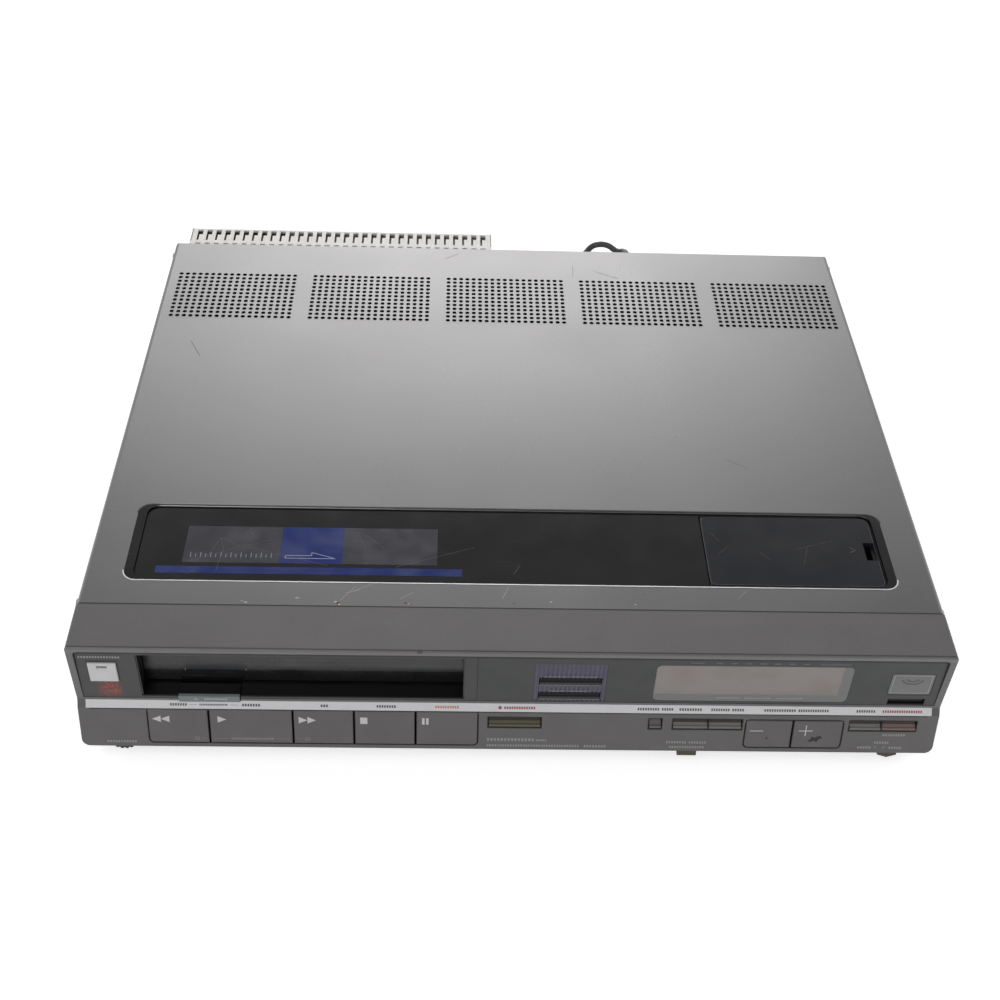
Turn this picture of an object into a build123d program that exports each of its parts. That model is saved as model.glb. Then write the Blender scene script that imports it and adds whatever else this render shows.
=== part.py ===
from build123d import *
import math
import os

# Front-loading half-inch video cassette recorder. X runs to the viewer's right, Y to the back, Z up.
# The origin is under the middle of the cabinet, on the surface that it stands on. Millimetres.

# Cabinet
WIDTH = 430.0
HEIGHT = 80.0
DEPTH = 382.0
LIP_REACH = 6.7
FASCIA_DEPTH = 28.8
CAGE_DEPTH = 21.8
FOOT_HEIGHT = 12.8
CHASSIS_SHEET = 1.2
COVER_SHEET = 1.0
COVER_RADIUS = 2.5
COVER_FIT = 0.2
WALL = 2.2
BOTTOM_WALL = 1.2
LOWER_WALL = 1.6
UPPER_WALL = 4.0
SEAM_GAP = 0.3
TONGUE_LENGTH = 10.0
TONGUE_THICKNESS = 1.5
NOSE_DROP = 0.8
NOSE_RADIUS = 1.4
FACE_LEAN = 1.3
LIP_CORNER = 4.0

LEFT = -WIDTH / 2
RIGHT = WIDTH / 2
LIP_Y = -DEPTH / 2
NOSE_Y = LIP_Y + LIP_REACH
SEAM_Y = NOSE_Y + FASCIA_DEPTH
CAGE_BACK_Y = DEPTH / 2
COVER_BACK_Y = CAGE_BACK_Y - CAGE_DEPTH
LIP_Z = FOOT_HEIGHT + CHASSIS_SHEET

# Cassette slot and the bright strip below it
SLOT_TOP_DROP = 7.0
SLOT_HEIGHT = 29.8
SLOT_WIDTH = 158.5
SLOT_INSET = 32.2
SLOT_LIP = 1.25
PANEL_TOP_DROP = 3.6
PANEL_SHADOW_GAP = 1.0
PANEL_FIT = 0.15
PANEL_RECESS = 1.5
PANEL_INSET = 3.4
PANEL_CORNER = 2.5
PANEL_FLANGE = 1.5
PANEL_FLANGE_LAP = 1.0
STRIP_STEP = 1.6
STRIP_HEIGHT = 3.5
STRIP_TOP_SETBACK = 1.2
STRIP_LOW_REACH = 1.2
STRIP_THICKNESS = 0.8
STRIP_END = 4.0
STRIP_FIT = 0.1

SLOT_TOP_Z = HEIGHT - SLOT_TOP_DROP
SLOT_BOTTOM_Z = SLOT_TOP_Z - SLOT_HEIGHT
SLOT_X0 = LEFT + SLOT_INSET
SLOT_X1 = SLOT_X0 + SLOT_WIDTH
SLOT_X = (SLOT_X0 + SLOT_X1) / 2
PANEL_Y = NOSE_Y + PANEL_RECESS
PANEL_BACK_Y = NOSE_Y + UPPER_WALL
PANEL_THICKNESS = PANEL_BACK_Y - PANEL_Y
PANEL_TOP_Z = HEIGHT - PANEL_TOP_DROP
PANEL_BOTTOM_Z = SLOT_BOTTOM_Z - SLOT_LIP
PANEL_X0 = LEFT + PANEL_INSET
PANEL_X1 = RIGHT - PANEL_INSET
STRIP_TOP_Z = PANEL_BOTTOM_Z - STRIP_STEP
STRIP_LOW_Z = STRIP_TOP_Z - STRIP_HEIGHT
STRIP_TOP_Y = NOSE_Y + STRIP_TOP_SETBACK
STRIP_LOW_Y = NOSE_Y - STRIP_LOW_REACH

# Working planes of the two front panels: x along the front, y up the panel, z out of it
UPPER = Plane(origin=(0, PANEL_Y, 0), x_dir=(1, 0, 0), z_dir=(0, -1, 0)).location
SLOPE = math.atan2(STRIP_LOW_Y - LIP_Y, STRIP_LOW_Z - LIP_Z)
LOWER_OUT = (0.0, -math.cos(SLOPE), math.sin(SLOPE))
LOWER = Plane(origin=(0, STRIP_LOW_Y, STRIP_LOW_Z), x_dir=(1, 0, 0), z_dir=LOWER_OUT).location
LIP_V = -(STRIP_LOW_Z - LIP_Z) / math.cos(SLOPE)

# Tunnel behind the cassette slot, and its door
TUNNEL_WALL = 1.8
TUNNEL_DEPTH = 32.0
TUNNEL_HEADROOM = 2.0
GUIDE_RIB = 0.6
GUIDE_RIB_WIDTH = 0.9
GUIDE_RIB_PITCH = 2.1
GUIDE_RIBS = 4
DOOR_SETBACK = 9.6
DOOR_THICKNESS = 1.6
DOOR_SIDE_GAP = 0.5
DOOR_FOOT_GAP = 0.8
DOOR_PIN_RADIUS = 1.2
DOOR_PIN_FIT = 0.06
DOOR_BARREL_RADIUS = 1.5

DOOR_FRONT_Y = PANEL_Y + DOOR_SETBACK
DOOR_AXIS_Y = DOOR_FRONT_Y + DOOR_THICKNESS
DOOR_AXIS_Z = SLOT_TOP_Z
TUNNEL_BACK_Y = PANEL_BACK_Y + TUNNEL_DEPTH
TUNNEL_TOP_Z = SLOT_TOP_Z + TUNNEL_HEADROOM
PANEL_SPLIT_X = SLOT_X1 + 6.2

# Buttons of the sloping lower panel: offsets from the cabinet's left or right side
KEY_START = 34.0
KEY_WIDTHS = (29.4, 40.6, 29.4, 29.7, 30.4)
KEY_NAMES = ("rewind_button", "play_button", "fast_forward_button", "stop_button", "pause_button")
KEY_GAP = 1.0
KEY_TOP_DROP = 0.6
KEY_FOOT = 2.7
KEY_CORNER = 2.5
BUTTON_FIT = 0.4
SMALL_TOP_DROP = 3.8
SMALL_HEIGHT = 5.6
RECORD_START = 203.2
RECORD_WIDTH = 25.8
CLOCK_END = 140.3
CLOCK_WIDTH = 5.8
TIMER_END = 99.6
CHECK_WIDTH = 17.2
TIMER_WIDTH = 16.2
ROCKER_END = 48.1
MINUS_WIDTH = 23.3
PLUS_WIDTH = 24.7
TIMER_RECORD_END = 11.0
NEXT_WIDTH = 15.6
TIMER_RECORD_WIDTH = 16.8
ROCKER_TOP_DROP = 3.9
ROCKER_FOOT = 2.9
PAIR_GAP = 1.0

# How a button is made behind its face
KEY_PROUD = 0.3
BAR_PROUD = 0.2
BAR_LEDGE = 1.6
BAR_RECESS = 2.0
EDGE_BREAK = 0.35
FLANGE_LAP = 0.9
FLANGE_GAP = 0.3
FLANGE_THICKNESS = 1.2
STRIP_LAND_DEPTH = 1.0
STEM = 4.0
BUTTON_TRAVEL = 1.5
SWITCH_GAP = 0.2
SWITCH_HEIGHT = 4.5
SWITCH_SIZE = 6.0

# Upper panel pieces
POWER_X = 15.7
POWER_WIDTH = 13.6
POWER_HEIGHT = 12.7
POWER_DROP = 12.5
POWER_PROUD = 1.2
POWER_TRAVEL = 2.0
POWER_SLIT = (5.0, 1.5, 0.7)
POWER_FIT = 0.5
RIBBED_SHIFT = 1.95
RIBBED_WIDTH = 36.0
RIBBED_DROP = 10.2
RIBBED_HEIGHT = 27.0
RIBBED_RELIEF = 0.4
RIB_COUNT = 16
COUNTER_WIDTH = 30.3
COUNTER_INSET = 3.0
COUNTER_DROP = 10.4
COUNTER_PITCH = 10.6
COUNTER_HEIGHT = 4.4
COUNTER_RECESS = 2.2
WINDOW_END = 48.4
WINDOW_WIDTH = 97.4
WINDOW_HEIGHT = 26.3
WINDOW_CORNER = 3.0
PANE_THICKNESS = 1.4
PANE_FIT = 0.1
PANE_LEDGE = 1.0
SHROUD_WALL = 1.2
SCREEN_SETBACK = 6.5
TUBE_THICKNESS = 6.0
SENSOR_END = 7.5
SENSOR_WIDTH = 21.5
SENSOR_HEIGHT = 15.4
SENSOR_DROP = 14.6
SENSOR_SLIT = (18.8, 4.5, 1.6)
SENSOR_SLIT_DROP = 3.1
SENSOR_LENS_RADIUS = 6.0
BOARD_THICKNESS = 1.6

PANEL_FACE_TOP_Z = PANEL_TOP_Z - PANEL_SHADOW_GAP
RIBBED_TOP_Z = HEIGHT - RIBBED_DROP
WINDOW_X1 = RIGHT - WINDOW_END
WINDOW_X0 = WINDOW_X1 - WINDOW_WIDTH
RIBBED_X0 = (PANEL_SPLIT_X + WINDOW_X0 - RIBBED_WIDTH) / 2 + RIBBED_SHIFT
WINDOW_TOP_Z = RIBBED_TOP_Z
WINDOW_LOW_Z = WINDOW_TOP_Z - WINDOW_HEIGHT
SENSOR_X1 = RIGHT - SENSOR_END
SENSOR_X0 = SENSOR_X1 - SENSOR_WIDTH
SENSOR_TOP_Z = HEIGHT - SENSOR_DROP
SENSOR_LOW_Z = SENSOR_TOP_Z - SENSOR_HEIGHT
SCREEN_Y = PANEL_Y + SCREEN_SETBACK
DISPLAY_BOARD_Y = SCREEN_Y + TUBE_THICKNESS
DISPLAY_BOARD_LOW_Z = PANEL_BOTTOM_Z + 0.4
DISPLAY_BOARD_TOP_Z = HEIGHT - 4.5
KEY_BOARD_W = -(LOWER_WALL + FLANGE_GAP + FLANGE_THICKNESS + 6.2 + SWITCH_HEIGHT)

# Eject tab at the slot's lower edge, sliders and thumbwheel under the lip
EJECT_START = 50.0
EJECT_WIDTH = 29.9
EJECT_TOP_RISE = 1.0
EJECT_GAP = 0.4
EJECT_STRIP_GAP = 0.25
EJECT_SET = 0.2
EJECT_DEPTH = 9.0
EJECT_LEG = (10.0, 1.7, 6.6)
EJECT_LEG_BACK = 6.1
SLIDER_WIDTH = 9.8
SLIDER_REACH = 4.4
SLIDER_THICKNESS = 2.4
SLIDER_BODY = (14.0, 6.4)
SLIDER_TRAVEL = 4.0
SLIDER_FIT = 0.35
INPUT_END = 125.3
TONE_END = 22.2
TRACKING_X = 20.3
WHEEL_RADIUS = 10.0
WHEEL_THICKNESS = 3.0
WHEEL_REACH = 3.2
WHEEL_AXLE_RADIUS = 1.5
WHEEL_AXLE_FIT = 0.05
WHEEL_GROOVES = 24
WHEEL_GROOVE_RADIUS = 0.55
LIP_CUT = 3.0
BOARD_BOSS = 5.0
BOARD_CLEAR = 1.0

# Glazed recess in the cover, with the lid over the channel presets
RECESS_FRONT = 45.5
RECESS_LENGTH = 55.1
RECESS_INSET = 23.5
RECESS_CORNER = 6.0
RECESS_BEVEL = 2.0
RIM_WIDTH = 4.5
RIM_DEPTH = 4.0
GLASS_DROP = 1.0
GLASS_THICKNESS = 3.0
GLASS_FIT = 0.3
LID_START = 115.5
LID_END = 25.2
LID_BORDER = 2.4
LID_FIT = 0.4
LID_LIFT = 0.2
LID_BARREL_RADIUS = 1.5
LID_PIN_RADIUS = 0.8
LID_PIN_FIT = 0.06
LID_PIN_LENGTH = 1.6
NOTCH_DEPTH = 6.2
NOTCH_WIDTH = 13.0
NOTCH_FROM_FRONT = 21.5
TRAY_WALL = 1.6
TRAY_DEPTH = 15.0
TRAY_MARGIN = 5.0
SIGHT_INSET = 46.0
SIGHT_WIDTH = 130.0
SIGHT_FRONT = 13.5
SIGHT_LENGTH = 26.7
TUNER_RADIUS = 7.5
TUNER_HEIGHT = 4.0
TUNER_POST_RADIUS = 1.5
TUNER_POST_FIT = 0.05

RECESS_Y0 = NOSE_Y + RECESS_FRONT
RECESS_Y1 = RECESS_Y0 + RECESS_LENGTH
RECESS_X0 = LEFT + RECESS_INSET
RECESS_X1 = RIGHT - RECESS_INSET
GLASS_TOP_Z = HEIGHT - GLASS_DROP
GLASS_LOW_Z = GLASS_TOP_Z - GLASS_THICKNESS
LID_X0 = RIGHT - LID_START
LID_X1 = RIGHT - LID_END
LID_Y0 = RECESS_Y0 + LID_BORDER
LID_Y1 = RECESS_Y1 - LID_BORDER
LID_AXIS_X = LID_X0 + LID_BARREL_RADIUS
LID_AXIS_Z = GLASS_TOP_Z - LID_BARREL_RADIUS
NOTCH_Y0 = RECESS_Y0 + NOTCH_FROM_FRONT

# Vents in the cover
VENT_GROUPS = 5
VENT_COLUMNS = 19
VENT_PITCH = 4.0
VENT_GROUP_PITCH = 85.0
VENT_WIDTH = 2.4
VENT_LENGTH = 46.4
VENT_BACK = 34.3

# Perforated cage over the regulator at the back
CAGE_START = 8.0
CAGE_WIDTH = 199.0
CAGE_TOP_DROP = 1.5
CAGE_FOOT = 7.0
CAGE_SHEET = 1.0
CAGE_SLOTS = 32
CAGE_SLOT_PITCH = 6.05
CAGE_SLOT_WIDTH = 3.5
CAGE_SLOT_LENGTH = 12.5
CAGE_SLOT_BACK = 2.3
CAGE_SHORT_SLOT = 3.2
CAGE_SLOT_STEP = 3.2
CAGE_REAR_SLOTS = 16
CAGE_REAR_SLOT_DROP = 12.0
CAGE_REAR_SLOT_HEIGHT = 34.0

CAGE_X0 = LEFT + CAGE_START
CAGE_X1 = CAGE_X0 + CAGE_WIDTH
CAGE_TOP_Z = HEIGHT - CAGE_TOP_DROP

# Chassis and back panel
CHASSIS_FRONT = 9.0
CHASSIS_FLANGE = 16.0
REAR_PANEL_SET = 1.3
SKIRT = 0.6
POST_RADIUS = 4.0
CHASSIS_SLOTS = 12
CHASSIS_SLOT = (30.0, 3.0)
CHASSIS_SLOT_PITCH = 8.0

CHASSIS_X0 = LEFT + COVER_SHEET + COVER_FIT
CHASSIS_X1 = RIGHT - COVER_SHEET - COVER_FIT
CHASSIS_Y0 = NOSE_Y + CHASSIS_FRONT
REAR_FACE_Y = COVER_BACK_Y - REAR_PANEL_SET
REAR_INNER_Y = REAR_FACE_Y - CHASSIS_SHEET
CHASSIS_TOP_Z = LIP_Z

# Tape deck
DECK_RISE = 10.0
DECK_SHEET = 2.0
DECK_FRONT = 42.0
DECK_MARGIN = 5.0
RING_MARGIN = 5.0
RING_OUTER = 74.0
RING_INNER = 62.0
RING_THICKNESS = 4.0
RING_PAD = 4.0
RUN_GAP = 0.3
DRUM_RADIUS = 37.25
DRUM_TILT = 5.0
DRUM_LOWER_HEIGHT = 18.0
DRUM_UPPER_HEIGHT = 14.0
DRUM_GAP = 0.5
DRUM_FOOT_RADIUS = 30.0
DRUM_STAND = 5.0
SHAFT_FIT = 0.05
DRUM_SHAFT_RADIUS = 3.0
REEL_SPACING = 79.0
REEL_RADIUS = 21.0
REEL_THICKNESS = 4.0
REEL_BACK = 51.0
SPINDLE_RADIUS = 4.5
SPINDLE_NOSE = 1.5
SPINDLE_FINS = 3
SPINDLE_CLEAR = 2.0
REEL_POST_RADIUS = 2.0
PINCH_RADIUS = 5.6
PINCH_HEIGHT = 20.0
PINCH_POST_RADIUS = 1.5
PINCH_ANGLE = -150.0
CAPSTAN_RADIUS = 2.0
CAPSTAN_RISE = 32.0
CAPSTAN_ANGLE = 35.0
CAPSTAN_ROTOR_RADIUS = 18.0
CAPSTAN_ROTOR = 3.4
CAPSTAN_BOSS_RADIUS = 5.0
DRIVE_RADIUS = 12.0
DRIVE_ANGLE = 140.0
DRIVE_SHAFT_RADIUS = 1.5
RING_MOTOR_RADIUS = 9.0
REEL_MOTOR_RADIUS = 11.0
REEL_MOTOR_AHEAD = 26.0
GUIDE_ROLLER_RADIUS = 4.0
GUIDE_ANGLES = (20.0, 90.0, 165.0, 235.0, 305.0)

DECK_LOW_Z = CHASSIS_TOP_Z + DECK_RISE
DECK_TOP_Z = DECK_LOW_Z + DECK_SHEET
DECK_Y0 = NOSE_Y + DECK_FRONT

# Cassette carriage: rails on the deck, sliders that run back, and the basket that drops
CASSETTE_WIDTH = 156.0
CASSETTE_HEIGHT = 25.0
BASKET_CLEAR = 0.6
BASKET_SHEET = 1.0
BASKET_DEPTH = 58.0
BASKET_FRONT_GAP = 2.0
BASKET_SHELF = 14.0
BASKET_RISE = 0.8
BASKET_HEADROOM = 1.0
BASKET_STOP = (12.0, 10.0)
SIDE_GAP = 0.6
SLIDER_PLATE = 1.0
RAIL_PLATE = 1.2
CARRIAGE_TRAVEL = 60.0
DECK_CLEAR = 1.0
PIN_RADIUS = 1.6
PIN_SLOT_FIT = 0.35
PIN_INSET = 12.0
RAIL_OVERRUN = 4.0
RAIL_FOOT = 6.0

BASKET_INNER = CASSETTE_WIDTH / 2 + BASKET_CLEAR
BASKET_OUTER = BASKET_INNER + BASKET_SHEET
SLIDER_INNER = BASKET_OUTER + SIDE_GAP
SLIDER_OUTER = SLIDER_INNER + SLIDER_PLATE
RAIL_INNER = SLIDER_OUTER + SIDE_GAP
RAIL_OUTER = RAIL_INNER + RAIL_PLATE
DECK_X0 = SLOT_X - RAIL_OUTER - DECK_MARGIN
DECK_X1 = SLOT_X + RAIL_OUTER + DECK_MARGIN
DOOR_REACH = DOOR_AXIS_Z - SLOT_BOTTOM_Z - DOOR_FOOT_GAP
BASKET_Y0 = DOOR_AXIS_Y + DOOR_REACH + BASKET_FRONT_GAP
BASKET_Y1 = BASKET_Y0 + BASKET_DEPTH
BASKET_LOW_Z = SLOT_BOTTOM_Z + BASKET_RISE
SHELF_TOP_Z = BASKET_LOW_Z + BASKET_SHEET
BASKET_TOP_Z = SHELF_TOP_Z + CASSETTE_HEIGHT + BASKET_HEADROOM + BASKET_SHEET
BASKET_DROP = BASKET_LOW_Z - DECK_TOP_Z - DECK_CLEAR
PIN_Z = BASKET_LOW_Z + 10.0
LOADED_BACK_Y = BASKET_Y1 + CARRIAGE_TRAVEL
RING_Y = LOADED_BACK_Y + RING_MARGIN + RING_OUTER
DECK_Y1 = RING_Y + RING_OUTER + 14.0
RAIL_Y1 = LOADED_BACK_Y + RAIL_OVERRUN
REEL_Y = LOADED_BACK_Y - REEL_BACK
SPINDLE_TOP_Z = BASKET_LOW_Z - SPINDLE_CLEAR

# Boards and supply on the right
MAIN_MARGIN = 8.0
MAIN_RISE = 8.0
MAIN_FRONT = 42.0
MAIN_BACK = 140.0
MAIN_SIDE = 8.0
MAIN_POST_INSET = 8.0
SCREEN_CANS = (
    ((12.0, 20.0), (40.0, 30.0, 16.0)),
    ((70.0, 14.0), (26.0, 40.0, 12.0)),
    ((120.0, 60.0), (34.0, 22.0, 18.0)),
    ((20.0, 90.0), (54.0, 26.0, 14.0)),
)
SINK_SIZE = (48.0, 12.0, 24.0)
SINK_PLATE = 2.0
SINK_FIN = 1.2
SINK_FINS = 9
SINK_SIDE = 37.4
SINK_BACK = 69.5
CAPACITOR = (5.0, 16.0)
CAPACITORS = 5
CAPACITOR_PITCH = 14.0
CAPACITOR_AHEAD = 24.0
CAPACITOR_GAP = 11.0
TRANSFORMER_END = 190.0
TRANSFORMER_SIZE = (56.0, 46.0, 40.0)
TRANSFORMER_BACK = 92.0
TUNER_END = 119.0
TUNER_SIZE = (50.0, 54.0, 40.0)
TUNER_BACK_GAP = 0.3
TUNER_Z = 22.0

# Sockets, lead, feet and screws
AERIAL_RADIUS = 4.75
AERIAL_WALL = 1.6
AERIAL_LENGTH = 7.5
PHONO_RADIUS = 4.15
PHONO_LENGTH = 8.0
PHONO_BORE_RADIUS = 1.6
SOCKET_FLANGE = 1.5
SOCKET_MARGIN = 8.0
SOCKET_BOARD_MARGIN = 14.0
SOCKET_BOARD = (80.0, 46.0, 1.6)
SOCKET_HIGH_Z = 58.0
SOCKET_LOW_Z = 36.0
SOCKET_PANEL_FIT = 0.3
SOCKET_PANEL_LIFT = 0.8
AERIAL_END = 94.0
PHONO_ENDS = (60.0, 40.0)
GLAND_END = 131.0
GLAND_Z = HEIGHT - 14.0
GLAND_LENGTH = 20.0
GLAND_RADIUS = 5.0
GLAND_FIT = 0.1
GLAND_TIP_RADIUS = 2.9
GLAND_COLLAR = (7.0, 2.5)
CORD_DIAMETER = 4.0
CORD_SIDES = 6
FOOT_RADIUS = 11.0
FOOT_TAPER = 1.5
FOOT_INSET = 30.0
FOOT_FRONT = 38.0
FOOT_BACK = 40.0
SCREW_HEAD_RADIUS = 3.2
SCREW_HEAD = 1.3
SCREW_DOME = 0.8
SCREW_RADIUS = 1.5
SCREW_LENGTH = 6.0
SCREW_FRONT = 5.2
SCREW_BACK = 7.5
SCREW_DROP = 6.0

# Coil of spare lead behind the cabinet
COIL_LAYERS = 4
COIL_LAYER_TURNS = 2.25
COIL_CLIMB_TURNS = 0.5
COIL_MEAN_RADIUS = 22.0
COIL_PITCH = 4.6
COIL_LIFT = 4.5
COIL_START = -90.0
COIL_END = 140.0
COIL_BACK = 52.0
PLUG_SIZE = (35.3, 34.0, 13.7)
PLUG_PIN_RADIUS = 2.0
PLUG_PIN_LENGTH = 19.0
PLUG_PIN_SPACING = 18.6
PLUG_NECK = 6.0


def block(x0, x1, y0, y1, z0, z1):
    """Box between its low and high corners."""
    return Pos((x0 + x1) / 2, (y0 + y1) / 2, (z0 + z1) / 2) * Box(x1 - x0, y1 - y0, z1 - z0)


def rod(radius, start, end):
    """Round bar from one point to another."""
    line = Vector(*end) - Vector(*start)
    frame = Plane(origin=start, z_dir=line).location
    return frame * Cylinder(radius, line.length, align=(Align.CENTER, Align.CENTER, Align.MIN))


def facet_bar(radius, start, end, sides=12, tip=None):
    """Many-sided bar for plain posts, heads and cans, tapered where a tip radius is given."""
    line = Vector(*end) - Vector(*start)
    foot = Plane(origin=start, z_dir=line) * RegularPolygon(radius=radius, side_count=sides)
    if tip is None:
        return extrude(foot, amount=line.length, dir=line.normalized())
    head = Plane(origin=end, z_dir=line) * RegularPolygon(radius=tip, side_count=sides)
    return loft([foot, head], ruled=True)


def profile_x(points, x0, x1):
    """Prism of a side profile, given as (y, z) points, from x0 to x1."""
    face = make_face(Polyline(*[(x0, y, z) for y, z in points], close=True))
    return extrude(face, amount=x1 - x0, dir=(1, 0, 0))


def corner_edges(shape, axis, places):
    """Edges along an axis whose middles lie at the given places across it."""
    found = []
    for edge in shape.edges().filter_by(axis):
        middle = edge.center()
        across = {Axis.X: (middle.Y, middle.Z), Axis.Y: (middle.X, middle.Z), Axis.Z: (middle.X, middle.Y)}[
            axis
        ]
        if any(math.dist(across, place) < 0.01 for place in places):
            found.append(edge)
    return found


def rounded(shape, axis, radius):
    """The shape with all its edges along one axis rounded."""
    return fillet(shape.edges().filter_by(axis), radius)


def polar(centre, radius, degrees):
    """Point at a distance and angle from a centre in plan."""
    turn = math.radians(degrees)
    return centre[0] + radius * math.cos(turn), centre[1] + radius * math.sin(turn)


# Layout of the lower panel, worked out once: each button's span and each opening's span


def lower_v(z):
    """Distance up the lower panel of a height on its face."""
    return (z - STRIP_LOW_Z) / math.cos(SLOPE)


KEY_SPAN = (lower_v(LIP_Z + KEY_FOOT), -KEY_TOP_DROP)
BOARD_LOW_V = lower_v(
    LIP_Z + BOTTOM_WALL + BOARD_CLEAR + (BOARD_THICKNESS - KEY_BOARD_W) * math.sin(SLOPE)
)
SMALL_SPAN = (-SMALL_TOP_DROP - SMALL_HEIGHT, -SMALL_TOP_DROP)
ROCKER_SPAN = (lower_v(LIP_Z + ROCKER_FOOT), -ROCKER_TOP_DROP)


def in_a_row(x0, widths, gap):
    """Spans of pieces of given widths laid side by side."""
    spans = []
    for width in widths:
        spans.append((x0, x0 + width))
        x0 += width + gap
    return spans


KEYS = in_a_row(LEFT + KEY_START, KEY_WIDTHS, KEY_GAP)
RECORD = in_a_row(LEFT + RECORD_START, (RECORD_WIDTH,), 0)
CLOCK = in_a_row(RIGHT - CLOCK_END - CLOCK_WIDTH, (CLOCK_WIDTH,), 0)
TIMERS = in_a_row(
    RIGHT - TIMER_END - CHECK_WIDTH - PAIR_GAP - TIMER_WIDTH, (CHECK_WIDTH, TIMER_WIDTH), PAIR_GAP,
)
ROCKERS = in_a_row(
    RIGHT - ROCKER_END - MINUS_WIDTH - PAIR_GAP - PLUS_WIDTH, (MINUS_WIDTH, PLUS_WIDTH), PAIR_GAP,
)
RECORDERS = in_a_row(
    RIGHT - TIMER_RECORD_END - NEXT_WIDTH - PAIR_GAP - TIMER_RECORD_WIDTH, (NEXT_WIDTH, TIMER_RECORD_WIDTH), PAIR_GAP
)
OPENINGS = [
    (KEYS, KEY_SPAN, KEY_CORNER),
    (RECORD, SMALL_SPAN, 0),
    (CLOCK, SMALL_SPAN, 0),
    (TIMERS, SMALL_SPAN, 0),
    (ROCKERS, ROCKER_SPAN, KEY_CORNER),
    (RECORDERS, SMALL_SPAN, 0),
]
SMALL_BUTTONS = {
    "record_button": RECORD[0],
    "clock_set_button": CLOCK[0],
    "check_button": TIMERS[0],
    "timer_set_button": TIMERS[1],
    "next_button": RECORDERS[0],
    "timer_record_button": RECORDERS[1],
}
ROCKER_BUTTONS = {"program_down_button": ROCKERS[0], "program_up_button": ROCKERS[1]}
EJECT_X0 = LEFT + EJECT_START
EJECT_X1 = EJECT_X0 + EJECT_WIDTH
EJECT_TOP_Z = SLOT_BOTTOM_Z + EJECT_TOP_RISE
EJECT_LOW_Z = STRIP_TOP_Z + EJECT_STRIP_GAP
SLIDERS = {
    "input_slider": (RIGHT - INPUT_END, 0.0),
    "tone_slider": (RIGHT - TONE_END, 1.6),
}
WHEEL_X = LEFT + TRACKING_X
WHEEL_V = LIP_V - WHEEL_REACH + WHEEL_RADIUS
WHEEL_W = -LOWER_WALL - 0.4
COUNTER_X0 = RIBBED_X0 + COUNTER_INSET
COUNTERS = {
    "counter_button": RIBBED_TOP_Z - COUNTER_DROP,
    "reset_button": RIBBED_TOP_Z - COUNTER_DROP - COUNTER_PITCH,
}
POWER_X0 = LEFT + POWER_X - POWER_WIDTH / 2
POWER_X1 = POWER_X0 + POWER_WIDTH
POWER_TOP_Z = HEIGHT - POWER_DROP
POWER_LOW_Z = POWER_TOP_Z - POWER_HEIGHT


# Front mouldings


def fascia_outline():
    """Outer side profile of the front moulding, from the seam round the nose to the lip."""
    return [
        (SEAM_Y - SEAM_GAP, HEIGHT),
        (NOSE_Y, HEIGHT - NOSE_DROP),
        (NOSE_Y + FACE_LEAN, PANEL_BOTTOM_Z - 0.3),
        (STRIP_TOP_Y, STRIP_TOP_Z),
        (STRIP_LOW_Y, STRIP_LOW_Z),
        (LIP_Y, LIP_Z),
        (SEAM_Y - SEAM_GAP, LIP_Z),
    ]


def strip_section(grow):
    """Side profile of the bright strip, lying in a groove of the moulding."""
    along = math.atan2(STRIP_HEIGHT, STRIP_TOP_SETBACK + STRIP_LOW_REACH)
    back = (math.sin(along) * STRIP_THICKNESS, -math.cos(along) * STRIP_THICKNESS)
    low = (STRIP_LOW_Y - grow * math.cos(along) * 0, STRIP_LOW_Z)
    return [
        (STRIP_TOP_Y, STRIP_TOP_Z),
        (STRIP_TOP_Y + back[0], STRIP_TOP_Z + back[1]),
        (STRIP_LOW_Y + back[0], STRIP_LOW_Z + back[1]),
        low,
    ]


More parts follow.
